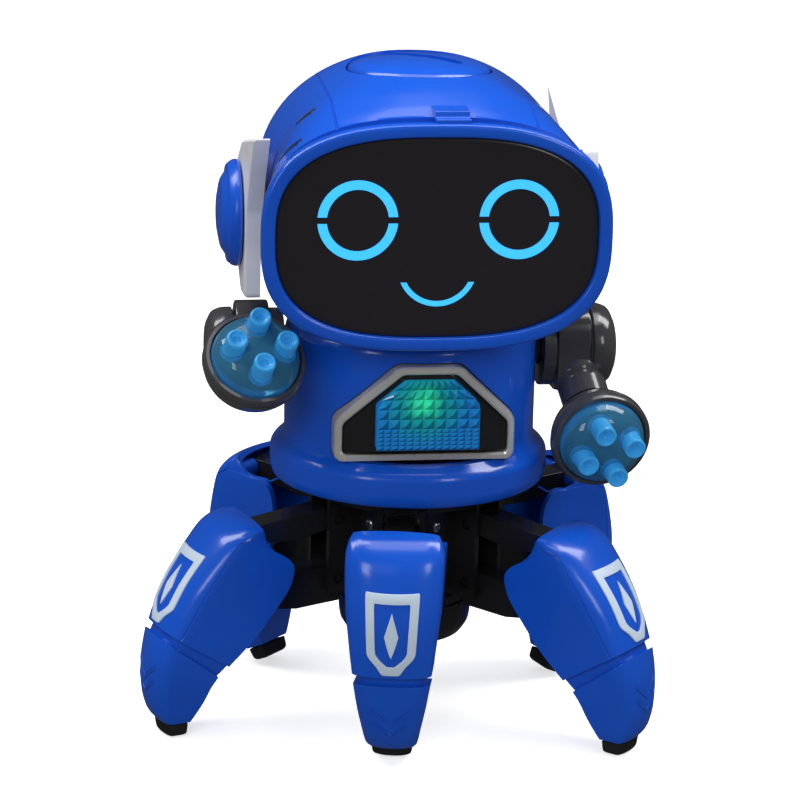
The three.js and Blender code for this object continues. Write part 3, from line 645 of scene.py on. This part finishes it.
def make_display():
    outer, inner, gap = EYE["outer"], EYE["inner"], EYE["gap"]
    for side, label in ((-1, "left"), (1, "right")):
        halves = [arc_band(outer, inner, sign * gap, sign, side * EYE["x"], EYE["z"]) for sign in (1, -1)]
        piece(label + "_eye", together(*halves), UPPER, CYAN, "head", "screen_black")
    smile = arc_band(MOUTH["outer"], MOUTH["inner"], MOUTH["corner"] - MOUTH["z"], -1, 0, MOUTH["z"])
    piece("smile", smile, UPPER, CYAN, "head", "screen_black")


def make_crown():
    base, top, radius = CROWN["base"], CROWN["top"], CROWN["radius"]
    profile = [(0, base), (radius, base), (radius, base + 1.2), (radius - 0.9, base + 2.3), (17, top - 1.5),
               (11, top - 0.5), (4, top), (0, top)]
    half, side = CROWN["slot_half"], CROWN["slot_width"] / 2
    bar = soften([(-half, -side), (half, -side), (half, side), (-half, side)], 1.9)
    slot = placed(plate(bar, -top - 2, -top + 3.6), turn(CROWN["slot_turn"]) @ turn(-90, "X"))
    place = UPPER @ shift(0, CROWN["y"], 0)
    cap = lathe(soften(profile, 0.8, closed=False), 96)
    piece("crown_cap", cap, place, BLUE, "head", "body_blue", [slot], replaces=["crown_disc"], bevel=0.3)


# ---- ears ----
# Outline of the fin as (reach, rise) about the ear's centre. The first corner is the long tip.
FIN = [
    (42, 30), (30, 16), (21, 4), (17.5, -8), (17, -23), (4, -24), (-13, -14), (-18.6, 0), (-13, 14), (4, 23),
]


def make_fin(side, label):
    """White plate with a slightly smaller outer face, on a stem that runs into the helmet."""
    outer, inner = EAR["plate"] + EAR["thickness"], EAR["plate"] - 1.6
    outline = soften(FIN, 1.6)
    layers = [(inner, outline), (outer - 0.8, outline), (outer, shrink(outline, 0.97))]
    rings = [[(side * x, -reach, z) for reach, z in points] for x, points in layers]
    stem = placed(rod(5.8, 0, 6.4), shift(side * (EAR["plate"] + 0.4), 0, 0) @ turn(-90 * side, "Y"))
    piece(label + "_fin", together(loft(rings), stem), ear_place(side), WHITE, label + "_ear", "fin_white",
          replaces=[label + "_ear_fin"], bevel=0.5)


def make_ear_dome(side, label):
    radius = EAR["cap"]
    profile = [(0, 0), (radius, 0), (radius, 1.9), (radius - 1.6, 3.9), (radius - 2.6, 3.7),
               (radius - 3.4, 4.1), (10.5, 5.7), (5.5, 6.7), (0, 7)]
    dome = lathe(soften(profile, 0.9, closed=False), 72)
    place = ear_place(side) @ shift(side * EAR["cap_side"], 0, 0) @ turn(90 * side, "Y")
    piece(label + "_ear_dome", dome, place, BLUE, label + "_ear", "body_blue", replaces=[label + "_ear_cap"])


# ---- torso ----
def torso_outline():
    """Section of the torso's wall as (radius, height): outer face upwards, then top, inside and floor."""
    radius, flange, flange_top, bottom = (TORSO[key] for key in ("radius", "flange", "flange_top", "bottom"))
    top, floor, neck, hole = TORSO["top"], TORSO["floor"], COLLAR["radius"] + 0.4, 11.4
    outer = [(flange - 4, bottom), (flange - 0.9, bottom + 1), (flange, bottom + 3.6),
             (flange, flange_top - 1.6), (flange - 1, flange_top), (radius + 0.6, flange_top + 2.2),
             (radius, flange_top + 4.4), (radius, top - 3), (radius - 1, top - 0.8), (radius - 3.4, top)]
    inner = [(neck, top), (neck, top - WALL), (radius - WALL - 2, top - WALL), (radius - WALL, top - 5),
             (radius - WALL, floor + 2), (hole, floor + 2), (hole, floor), (radius, floor), (radius, bottom)]
    return soften(outer + inner, 1.1)


def six_corners(sizes, grow):
    """House-shaped outline of the chest pieces, grown or shrunk on every side."""
    half, top_half = sizes["half"] + grow, sizes["top_half"] + grow * 0.6
    bottom, shoulder, top = sizes["bottom"] - grow, sizes["shoulder"] + grow * 0.5, sizes["top"] + grow
    return [(-half, bottom), (half, bottom), (half, shoulder), (top_half, top), (-top_half, top),
            (-half, shoulder)]


def chest_outline(grow, corner=2.6):
    return soften(six_corners(CHEST, grow), corner, steps=5)


def lens_outline(grow):
    return soften(six_corners(LENS, grow), 0.8, steps=5)


def make_torso():
    outline = torso_outline()
    shoulder = cross_rod(5.6, 60, 0, SHOULDER_Z)
    pocket = plate(chest_outline(0.35), -60, -CHEST["floor"])
    window = block(-DOOR["half"], DOOR["half"], TORSO["radius"] - 14, 60, DOOR["bottom"], DOOR["top"])
    side = SWITCH_SLOT["half"]
    slot = block(-side, side, TORSO["radius"] - 10, 60, SWITCH_SLOT["bottom"], SWITCH_SLOT["top"])
    seam = 0.25
    for label, start, cuts in (("front", 180, [shoulder, pocket]), ("rear", 0, [shoulder, window, slot])):
        half = lathe(outline, 64, ring=True, start=start + seam, sweep=180 - 2 * seam)
        piece("torso_" + label, half, UPPER, BLUE, "torso", "body_blue", cuts,
              replaces=["torso_" + label + "_shell"], bevel=0.22)


def vent_cutters(radius):
    """Level grooves across the middle of the battery door."""
    reach = VENTS["half_turn"]
    angles = [math.radians(degrees) for degrees in range(-reach, reach + 1, 2)]
    heights = [VENTS["bottom"] + i * VENTS["pitch"] for i in range(VENTS["count"])]
    return [tube([(radius * math.sin(a), radius * math.cos(a), z) for a in angles], VENTS["radius"])
            for z in heights]


def make_battery_door():
    gap = DOOR["gap"]
    radius, half = TORSO["radius"], DOOR["half"] - gap
    angle = math.degrees(math.asin(half / radius))
    bottom, top = DOOR["bottom"] + gap, DOOR["top"] - gap
    skin = soften([(radius, bottom), (radius, top), (radius - WALL, top), (radius - WALL, bottom)], 0.3)
    leaf = lathe(skin, 24, ring=True, start=90 - angle, sweep=2 * angle)
    piece("battery_cover", leaf, UPPER, BLUE, "torso", "body_blue", vent_cutters(radius),
          replaces=["battery_door"], bevel=0.2)
    place = UPPER @ turn(180) @ shift(0, -radius + 0.2, DOOR["screw"]) @ turn(90, "X")
    screw("battery_cover_screw", place, 2.2, "torso")


def on_drum(outline, radius):
    """Outline in the X-Z plane, laid on the front of a drum."""
    return [(x, -math.sqrt(radius * radius - x * x), z) for x, z in outline]


def make_chest_rim():
    front, wall = CHEST["front"], TORSO["radius"] - 4
    outer, inner = chest_outline(0), chest_outline(-CHEST["band"], 1.6)
    loops = [on_drum(outer, wall), on_drum(outer, front - 0.5), on_drum(chest_outline(-0.45), front),
             on_drum(chest_outline(-1.8, 1.8), front), on_drum(inner, front - 0.5), on_drum(inner, wall)]
    piece("chest_rim", loft(loops, loop=True), UPPER, SILVER, "torso", "chest_silver",
          replaces=["chest_frame"])


def make_chest_panel():
    """Black plate between the silver frame and the lens."""
    front, wall = CHEST["front"], TORSO["radius"] - 4
    loops = [on_drum(chest_outline(-2.2, 1.6), wall - 1), on_drum(chest_outline(-2.2, 1.6), front - 1.9),
             on_drum(chest_outline(-3, 1.6), front - 1.6), on_drum(lens_outline(0.5), front - 1.5),
             on_drum(lens_outline(0.2), front - 1.7), on_drum(lens_outline(0.2), wall - 1)]
    piece("chest_panel", loft(loops, loop=True), UPPER, BLACK, "torso", "black_gloss")


def lens_half(z):
    """Half width of the lens at a height."""
    if z <= LENS["shoulder"]:
        return LENS["half"]
    t = (z - LENS["shoulder"]) / (LENS["top"] - LENS["shoulder"])
    return LENS["half"] + (LENS["top_half"] - LENS["half"]) * t


def pyramid_rows(z0, z1, rows, columns, height, front):
    """Grid of small pyramids that fills the lens between two heights."""
    points, faces = [], []
    step = (z1 - z0) / rows
    for row in range(rows):
        low, high = z0 + row * step, z0 + (row + 1) * step
        for column in range(columns):
            edges = [(-1 + 2 * k / columns) for k in (column, column + 1)]
            corners = [(edges[0] * lens_half(low), low), (edges[1] * lens_half(low), low),
                       (edges[1] * lens_half(high), high), (edges[0] * lens_half(high), high)]
            start = len(points)
            points += [Vector((x, front, z)) for x, z in corners]
            middle = sum((Vector((x, 0, z)) for x, z in corners), Vector()) / 4
            points.append(Vector((middle.x, front - height, middle.z)))
            points += [Vector((x, front + 0.8, z)) for x, z in corners]
            for i in range(4):
                faces.append((start + i, start + (i + 1) % 4, start + 4))
            for i in range(4):
                faces.append((start + i, start + 5 + i, start + 5 + (i + 1) % 4, start + (i + 1) % 4))
            faces.append((start + 5, start + 6, start + 7, start + 8))
    return points, faces


def make_lens():
    front = -CHEST["front"] + 2.9
    body = plate(lens_outline(-0.1), front + 0.5, -CHEST["floor"] - 2)
    change = 99.4
    fine = pyramid_rows(LENS["bottom"] + 0.4, change, 5, 14, 0.8, front)
    coarse = pyramid_rows(change, LENS["top"] - 0.3, 5, 9, 1.7, front)
    piece("lamp_lens", together(body, fine, coarse), UPPER, LENS_BLUE, "torso", "clear_blue",
          replaces=["chest_lens"], crease=10)


# ---- arms ----
def screw(name, place, radius, body):
    """Cross-head screw with its head in the local X-Y plane."""
    reach, side, floor = radius * 0.6, 0.22, 0.15
    profile = [(0, -0.8), (radius, -0.8), (radius, 0.2), (reach, 0.55), (0, 0.6)]
    head = lathe(soften(profile, 0.2, False), 24)
    cross = [block(-reach, reach, -side, side, floor, 1), block(-side, side, -reach, reach, floor, 1)]
    piece(name, head, place, STEEL, body, "steel", cross)


def pod_seat():
    """Space that the pod takes out of the shoulder."""
    back = [(r + 0.3 if r else 0, z - 0.3) for r, z in POD_BACK]
    return lathe(back + [(POD["radius"] + 0.3, 4), (0, 4)], 48)


def pod_neck(side):
    """Round neck from the middle of the shoulder block to the back of the pod, in the arm's frame."""
    start = Vector((side * 50, 0, 0))
    along = arm_place(side).inverted() @ pod_place(side) @ Vector((0, 0, -6)) - start
    aim = along.to_track_quat("Z", "Y").to_matrix().to_4x4()
    neck, length = POD["neck"], along.length
    profile = [(0, 0), (8.6, 0), (8.6, 11.5), (neck, 13.2), (neck, length), (0, length)]
    return placed(lathe(soften(profile, 1, False), 48), Matrix.Translation(start) @ aim)


def shoulder_shapes():
    """Block, outer cap and pivot disc of a shoulder, along its own +Z axis."""
    half, height, inner = SHOULDER["half_depth"], SHOULDER["half_height"], SHOULDER["inner"]
    corners = soften([(-half, -height), (half, -height), (half, height), (-half, height)], 9, steps=8)
    housing = loft([[(-z, x, depth) for x, z in corners] for depth in (SHOULDER["block"], SHOULDER["cap"])])
    profile = [(0, 54.9), (12, 54.9), (12, 55.7), (13, 55.7), (13, 59), (11.8, 62), (8, 63.8), (0, 64.4)]
    cap = lathe(soften(profile, 1.2, False), 64)
    disc = together(rod(12.6, inner, inner + 4, 64), rod(5.2, 35.8, inner))
    return {"block": housing, "cap": cap, "disc": disc}


def make_shoulder(side, label):
    place = arm_place(side) @ turn(90 * side, "Y")
    replaced = [label + "_shoulder"]
    shapes = {**shoulder_shapes(), "neck": pod_neck(side)}
    for part, shape in shapes.items():
        thing = mesh_object(label + "_shoulder_" + part, shape, arm_place(side) if part == "neck" else place)
        if part != "disc":
            carve(thing, pod_seat(), pod_place(side))
        bevel = 0.7 if part == "block" else 0
        finish_piece(thing, SMOKE, label + "_arm", "arm_smoke", replaces=replaced, bevel=bevel)
        replaced = ()


def make_barrel(place, body, label):
    radius, dome = POD["radius"], POD["dome"]
    rim = [(radius - 0.5, -3.4), (radius - 0.5, -2.9), (radius, -2.4), (radius, -0.9), (radius - 0.7, 0),
           (dome + 0.5, 0), (dome + 0.4, -2.3), (dome - 1.6, -2.4), (dome - 3, -7.6), (0, -8)]
    profile = soften(POD_BACK, 2.4, False, 5) + rim
    piece(label + "_pod_barrel", lathe(profile, 72), place, SMOKE, body, "arm_smoke",
          replaces=[label + "_pod_housing"])


def make_dome(place, body, label):
    dome = POD["dome"]
    profile = [(0, -2), (dome, -2), (dome, 0.4), (dome - 1.2, 3.1), (9.6, 5.6), (5, 7.1), (0, 7.6)]
    skin = lathe(soften(profile, 1.6, False, 5), 72)
    piece(label + "_dome", skin, place, DOME, body, "clear_blue", replaces=[label + "_pod_dome"])


def make_nozzles(place, body, label):
    """Ring of open-ended nozzles that stand out of the dome."""
    profile = [(0, 2.5), (3.5, 2.5), (3.3, 6), (3.3, 10.8), (2.9, 11.3), (2.4, 11.3), (2, 10.5), (1.3, 10.4),
               (1.1, 9.2), (0, 9.1)]
    nozzle = lathe(soften(profile, 0.3, False), 32)
    radius, count = NOZZLE_RING["radius"], NOZZLE_RING["count"]
    angles = [math.radians(NOZZLE_RING[label + "_turn"] + i * 360 / count) for i in range(count)]
    nozzles = [placed(nozzle, shift(radius * math.cos(a), radius * math.sin(a), 0)) for a in angles]
    piece(label + "_nozzles", together(*nozzles), place, NOZZLE, body, "clear_blue")


def make_pod(side, label):
    for make in (make_barrel, make_dome, make_nozzles):
        make(pod_place(side), label + "_arm", label)


# ---- legs ----
# Sections from the top down: outer reach and height, inner reach and height, width.
THIGH = [
    [55.5, 67, 53.5, 60, 26], [60.5, 67, 51, 58, 28], [67, 64.3, 47.5, 56, 29.4],
    [73, 58, 45.5, 52.5, 29.6], [79, 50, 47, 46, 28.6], [83, 42.5, 52.5, 37.5, 26.6],
    [84.4, 39, 58, 30.5, 25.4], [85.7, 35, 67, 21.5, 23.6],
]
SHIN = [
    [86.4, 33.6, 68.8, 19.9, 23.2], [88.2, 25, 71, 16, 21], [88.6, 15, 72.6, 11.5, 18],
    [87, 8, 75, 7.2, 16], [84.6, 4.6, 76.4, 4.6, 14],
]
PAD = [
    [84.2, 4.2, 76.8, 4.2, 12.6], [83.8, 1.4, 77, 1.4, 12], [83.4, 0.5, 77.3, 0.5, 11.2],
    [82.6, 0, 78, 0, 9.6],
]
FINE = 20  # smooth rows from one section to the next
ARCH_SHARE = 0.3  # part of a section's depth that its arch takes
ARCH_POWER = 0.8


def station_at(stations, u):
    """Smooth section nearest to the section number u."""
    rows = spline(stations, FINE)
    return rows[max(0, min(round(u * FINE), len(rows) - 1))]


def leg_point(station, across, lift=0.0):
    """Point on the outer face of a leg section, at a distance across it."""
    outer, inner = Vector(station[0:2]), Vector(station[2:4])
    axis = (outer - inner).normalized()
    depth = (outer - inner).length
    rise = depth * ARCH_SHARE
    c = max(-1.0, min(1.0, across / (station[4] / 2)))
    t = depth - rise + rise * math.sqrt(1 - c * c) ** ARCH_POWER + lift
    spot = inner + axis * t
    return Vector((across, -spot.x, spot.y))


def leg_ring(station, inset=0.0, open_end=0.0, arch=17):
    """One section of a leg: flat sides, and an arch over the outer part of the depth."""
    outer, inner = Vector(station[0:2]), Vector(station[2:4])
    axis = (outer - inner).normalized()
    depth = (outer - inner).length
    half, rise = station[4] / 2 - inset, depth * ARCH_SHARE

    def at(t, across):
        spot = inner + axis * t
        return (across, -spot.x, spot.y)

    ring = [at(-open_end, -half)]
    for i in range(arch):
        angle = math.pi * (1 - i / (arch - 1))
        ring.append(at(depth - rise - inset + rise * math.sin(angle) ** ARCH_POWER, half * math.cos(angle)))
    ring.append(at(-open_end, half))
    return ring


def leg_skin(stations, first=0.0, last=None, inset=0.0, open_end=0.0, steps=5):
    rows = spline(stations, FINE)
    end = (len(stations) - 1) if last is None else last
    count = round((end - first) * steps)
    picks = [rows[round((first + (end - first) * i / count) * FINE)] for i in range(count + 1)]
    return loft([leg_ring(row, inset, open_end) for row in picks])


def hollow_stations():
    """Sections of the space inside a thigh, which is open towards the hub and at the bottom."""
    rows = [list(row) for row in THIGH]
    for column in (0, 2):
        rows[0][column] -= 6
    for column in (1, 3):
        rows[-1][column] += 1.6
    return rows


def seam_path(side):
    """Groove along the edge between the domed front and the cheek of a thigh."""
    path = []
    top = station_at(THIGH, 1.7)
    inner, outer = Vector(top[2:4]), Vector(top[0:2])
    for t in (0.1, 0.3, 0.5, 0.62):
        spot = inner.lerp(outer, t)
        path.append((side * top[4] / 2, -spot.x, spot.y + 1.5 * t))
    for i in range(19):
        row = station_at(THIGH, 2.05 + i * 0.26)
        path.append(leg_point(row, side * row[4] / 2 * 0.965))
    return path


def on_leg(stations, outline, lift):
    """Outline of (across, section) points, laid on the outer face."""
    return [leg_point(station_at_smooth(stations, u), across, lift) for across, u in outline]


def band_on_leg(stations, outline_out, outline_in, lift):
    """Raised band between two outlines of (across, section) points on the outer face."""
    steps = [
        (outline_out, -0.5), (outline_out, lift * 0.7), (shrink(outline_out, 0.94), lift),
        (shrink(outline_in, 1.06), lift), (outline_in, lift * 0.7), (outline_in, -0.5),
    ]
    return loft([on_leg(stations, outline, height) for outline, height in steps], loop=True)


def shrink(outline, factor):
    centre = sum((Vector(point) for point in outline), Vector((0, 0))) / len(outline)
    return [tuple(centre + (Vector(point) - centre) * factor) for point in outline]


def station_at_smooth(stations, u):
    """Section at the section number u, between the two smooth rows next to it."""
    rows = spline(stations, FINE)
    place = max(0.0, min(u * FINE, len(rows) - 1.001))
    low = int(place)
    return [a + (b - a) * (place - low) for a, b in zip(rows[low], rows[low + 1])]


def badge_outlines():
    """Shield outlines as (across, section): the section number grows down the leg."""
    outer = [(-8.1, 3.0), (8.1, 3.0), (7.2, 5.05), (2.6, 6.55), (-2.6, 6.55), (-7.2, 5.05)]
    inner = [(-5.4, 3.3), (5.4, 3.3), (4.7, 4.95), (1.1, 5.95), (-1.1, 5.95), (-4.7, 4.95)]
    return soften(dense(outer), 0.6, steps=2), soften(dense(inner), 0.4, steps=2)


def dense(points, parts=4):
    """Outline with each side split into parts, so that it bends with the face under it."""
    result = []
    for i, point in enumerate(points):
        nxt = Vector(points[(i + 1) % len(points)])
        result += [tuple(Vector(point).lerp(nxt, k / parts)) for k in range(parts)]
    return result


def lozenge():
    """Plain raised lozenge in the middle of the badge."""
    outline = dense([(0, 3.55), (2.1, 4.3), (0, 5.15), (-2.1, 4.3)], 3)
    steps = ((1, -0.4), (1, 0.3), (0.8, 0.45))
    return loft([on_leg(THIGH, shrink(outline, factor), lift) for factor, lift in steps])


def chevron(top, half=6.0, drop=0.5, width=0.16):
    """Raised V on the front of the shin."""
    upper = [(-half, top), (0, top + drop), (half, top)]
    lower = [(half, top + width), (0, top + drop + width), (-half, top + width)]
    outline = dense(upper + lower, 4)
    return loft([on_leg(SHIN, outline, lift) for lift in (-0.5, 0.28)])


def thigh_mesh():
    """Hollow thigh shell with a slot for its arms and a seam along each cheek."""
    thigh = mesh_object("thigh", leg_skin(THIGH, 0, 6.8), Matrix())
    carve(thigh, leg_skin(hollow_stations(), inset=WALL, open_end=5, steps=2), Matrix())
    carve(thigh, block(-5.2, 5.2, -54, -40, 35.6, 63.4), Matrix())
    for side in (-1, 1):
        carve(thigh, tube(seam_path(side), 0.32, 6), Matrix())
    return thigh


def hip_bosses():
    """Bosses inside the thigh that hold the ends of the hip pin."""
    hip = shift(0, -HIP_REACH, ARM["height"] - HIP_RISE)
    boss = rod(2.9, 4.9, 13.2, 20)
    return together(*[placed(placed(boss, turn(90 * side, "Y")), hip) for side in (-1, 1)])


def leg_neck():
    """Narrower core that shows in the joint between thigh and shin."""
    spots = ((THIGH, 6.4), (THIGH, 7), (SHIN, 0), (SHIN, 0.4))
    return loft([leg_ring(station_at(stations, u), 1.5) for stations, u in spots])


def build_leg_meshes():
    """One leg's pieces in its own frame; every leg is a copy of them."""
    thigh = thigh_mesh()
    bosses = mesh_object("bosses", hip_bosses(), Matrix())
    neck = mesh_object("neck", leg_neck(), Matrix())
    shin = mesh_object("shin", together(leg_skin(SHIN, 0.1), chevron(1.0), chevron(1.45, 5.4)), Matrix())
    pad = mesh_object("pad", leg_skin(PAD, steps=4), Matrix())
    badge = mesh_object("badge", band_on_leg(THIGH, *badge_outlines(), 0.5), Matrix())
    mark = mesh_object("mark", lozenge(), Matrix())
    for thing in (thigh, shin, pad):
        round_edges(thing, 0.35)
    return {thing.name: thing for thing in (thigh, bosses, neck, shin, pad, badge, mark)}


# Material, slot and replaced node of each piece of a leg.
LEG_LOOKS = {
    "thigh": (BLUE, "body_blue", "thigh_shell"), "bosses": (BLUE, "body_blue", None),
    "neck": (BLUE, "body_blue", None), "shin": (BLUE, "body_blue", "shin_shell"),
    "pad": (RUBBER, "foot_rubber", "foot_pad"), "badge": (BADGE, "chest_silver", None),
    "mark": (BADGE, "chest_silver", None),
}


def make_legs():
    masters = build_leg_meshes()
    unscale = Matrix.Scale(1 / MM, 4)
    for index, label in enumerate(LEG_NAMES):
        place = Matrix.Scale(MM, 4) @ leg_place(index) @ unscale
        for kind, (material, slot, node) in LEG_LOOKS.items():
            thing = bpy.data.objects.new(label + "_" + kind, masters[kind].data.copy())
            bpy.context.scene.collection.objects.link(thing)
            thing.data.transform(place)
            replaced = [label + "_" + node] if node else []
            finish_piece(thing, material, label + "_leg", slot, replaces=replaced)
        upper, lower = label + "_upper_arm", label + "_lower_arm"
        for node, body in ((upper, upper), (lower, "base")):
            polished(node, BLACK, body, "black_gloss", 0.5)
    for thing in masters.values():
        bpy.data.objects.remove(thing)


# ---- hub ----
def make_hub():
    profile = [(0, 22), (13.4, 22), (14, 22), (18, 23.4), (20.4, 27), (21, 31), (21, 39.8), (18.6, 39.8),
               (18.6, 31), (13.6, 24.4), (0, 24.4)]
    shell = lathe(soften(profile, 1.2, False, 4), 72)
    groove = lathe([(20.2, 35.4), (22, 35.4), (22, 36.4), (20.2, 36.4)], 72, ring=True)
    piece("hub_drum", shell, HUB, BLACK, "base", "black_gloss", [groove],
          replaces=["hub_column", "hub_bottom_cover"], bevel=0.2)
    polished("hub_deck", BLACK, "base", "black_gloss", 0.3)
    for index in range(len(LEG_NAMES)):
        angle = BASE_YAW + LEG_STEP * index + LEG_STEP / 2
        for z in HUB_SCREW_HEIGHTS:
            place = HUB @ turn(angle) @ shift(0, -20.9, z) @ turn(90, "X")
            screw(f"hub_screw_{index}_{z}", place, 1.7, "base")


# ---- stage, in metres ----
# Name, power, width, height, place, and whether it shows in reflections.
LIGHTS = [
    ("softbox_left", 6, 0.4, 0.7, (-0.6, 0.05, 1.0), True),
    ("softbox_right", 7, 0.4, 0.7, (0.6, 0.05, 1.0), True),
    ("window_left", 1.6, 0.25, 0.45, (-0.75, -1.1, 0.6), True),
    ("window_right", 1.6, 0.25, 0.45, (0.75, -1.1, 0.65), True),
    ("front_fill", 5, 0.5, 0.5, (-0.3, -1.3, 0.8), False),
    ("top_light", 5, 0.8, 0.8, (0, 0, 1.2), True),
]
LIGHT_AIM = (0, 0, 0.1)
FLOOR_GLOW = 0.62
CAMERA = {"elevation": 15, "distance": 0.9, "lens": 129.6, "sensor": 36, "roll": 1.3, "aim": (-2.8, 0, 97.6)}


def area_light(name, energy, width, height, position, glossy):
    data = bpy.data.lights.new(name, "AREA")
    data.energy = energy
    data.shape = "RECTANGLE"
    data.size = width
    data.size_y = height
    lamp = bpy.data.objects.new(name, data)
    lamp.location = position
    lamp.visible_glossy = glossy
    lamp.rotation_euler = (Vector(LIGHT_AIM) - Vector(position)).to_track_quat("-Z", "Y").to_euler()
    bpy.context.scene.collection.objects.link(lamp)


def make_world():
    """White studio: bright to the eye, dim as fill light and dimmer still in reflections."""
    world = bpy.data.worlds.new("studio")
    world.use_nodes = True
    nodes, links = world.node_tree.nodes, world.node_tree.links
    rays = nodes.new("ShaderNodeLightPath")
    strength = 0.05
    for output, share in (("Is Camera Ray", 1.1), ("Is Diffuse Ray", 0.3)):
        add = nodes.new("ShaderNodeMath")
        add.operation = "MULTIPLY_ADD"
        links.new(rays.outputs[output], add.inputs[0])
        add.inputs[1].default_value = share
        if isinstance(strength, float):
            add.inputs[2].default_value = strength
        else:
            links.new(strength, add.inputs[2])
        strength = add.outputs["Value"]
    links.new(strength, nodes["Background"].inputs["Strength"])
    nodes["Background"].inputs["Color"].default_value = (1, 1, 1, 1)
    bpy.context.scene.world = world


def make_floor():
    floor = mesh_object("studio_floor", lathe([(0, -0.9), (900, -0.9), (900, -0.3), (0, -0.3)], 96), Matrix())
    paper = moulded("pale_floor", (0.9, 0.9, 0.92), 0.8, grain=60, relief=0.01, change=0.01)
    shader = paper.node_tree.nodes["Principled BSDF"]
    put(shader, {"Emission Color": (1, 1, 1, 1), "Emission Strength": FLOOR_GLOW})
    floor.data.materials.append(paper)
    floor.visible_diffuse = False
    floor.visible_glossy = False


def make_camera():
    """Camera in front and a little above, slightly rolled, aimed a little to the left of the hub's axis."""
    data = bpy.data.cameras.new("camera")
    data.lens = CAMERA["lens"]
    data.sensor_width = CAMERA["sensor"]
    camera = bpy.data.objects.new("camera", data)
    target = HUB @ Vector(CAMERA["aim"]) * MM
    elevation, roll = math.radians(CAMERA["elevation"]), math.radians(CAMERA["roll"])
    back = Vector((0, -math.cos(elevation), math.sin(elevation)))
    camera.location = target + back * CAMERA["distance"]
    aim = (-back).to_track_quat("-Z", "Y").to_matrix() @ Matrix.Rotation(roll, 3, "Z")
    camera.rotation_euler = aim.to_euler()
    bpy.context.scene.collection.objects.link(camera)
    bpy.context.scene.camera = camera


bpy.context.scene.view_settings.view_transform = "Standard"
dress_cad_nodes()
make_helmet()
make_bezel()
make_latch()
make_screen()
make_display()
make_crown()
make_torso()
make_battery_door()
make_chest_rim()
make_chest_panel()
make_lens()
for arm_side, arm_label in ((-1, "left"), (1, "right")):
    make_fin(arm_side, arm_label)
    make_ear_dome(arm_side, arm_label)
    make_shoulder(arm_side, arm_label)
    make_pod(arm_side, arm_label)
make_legs()
make_hub()
make_floor()
make_world()
for light in LIGHTS:
    area_light(*light)
make_camera()
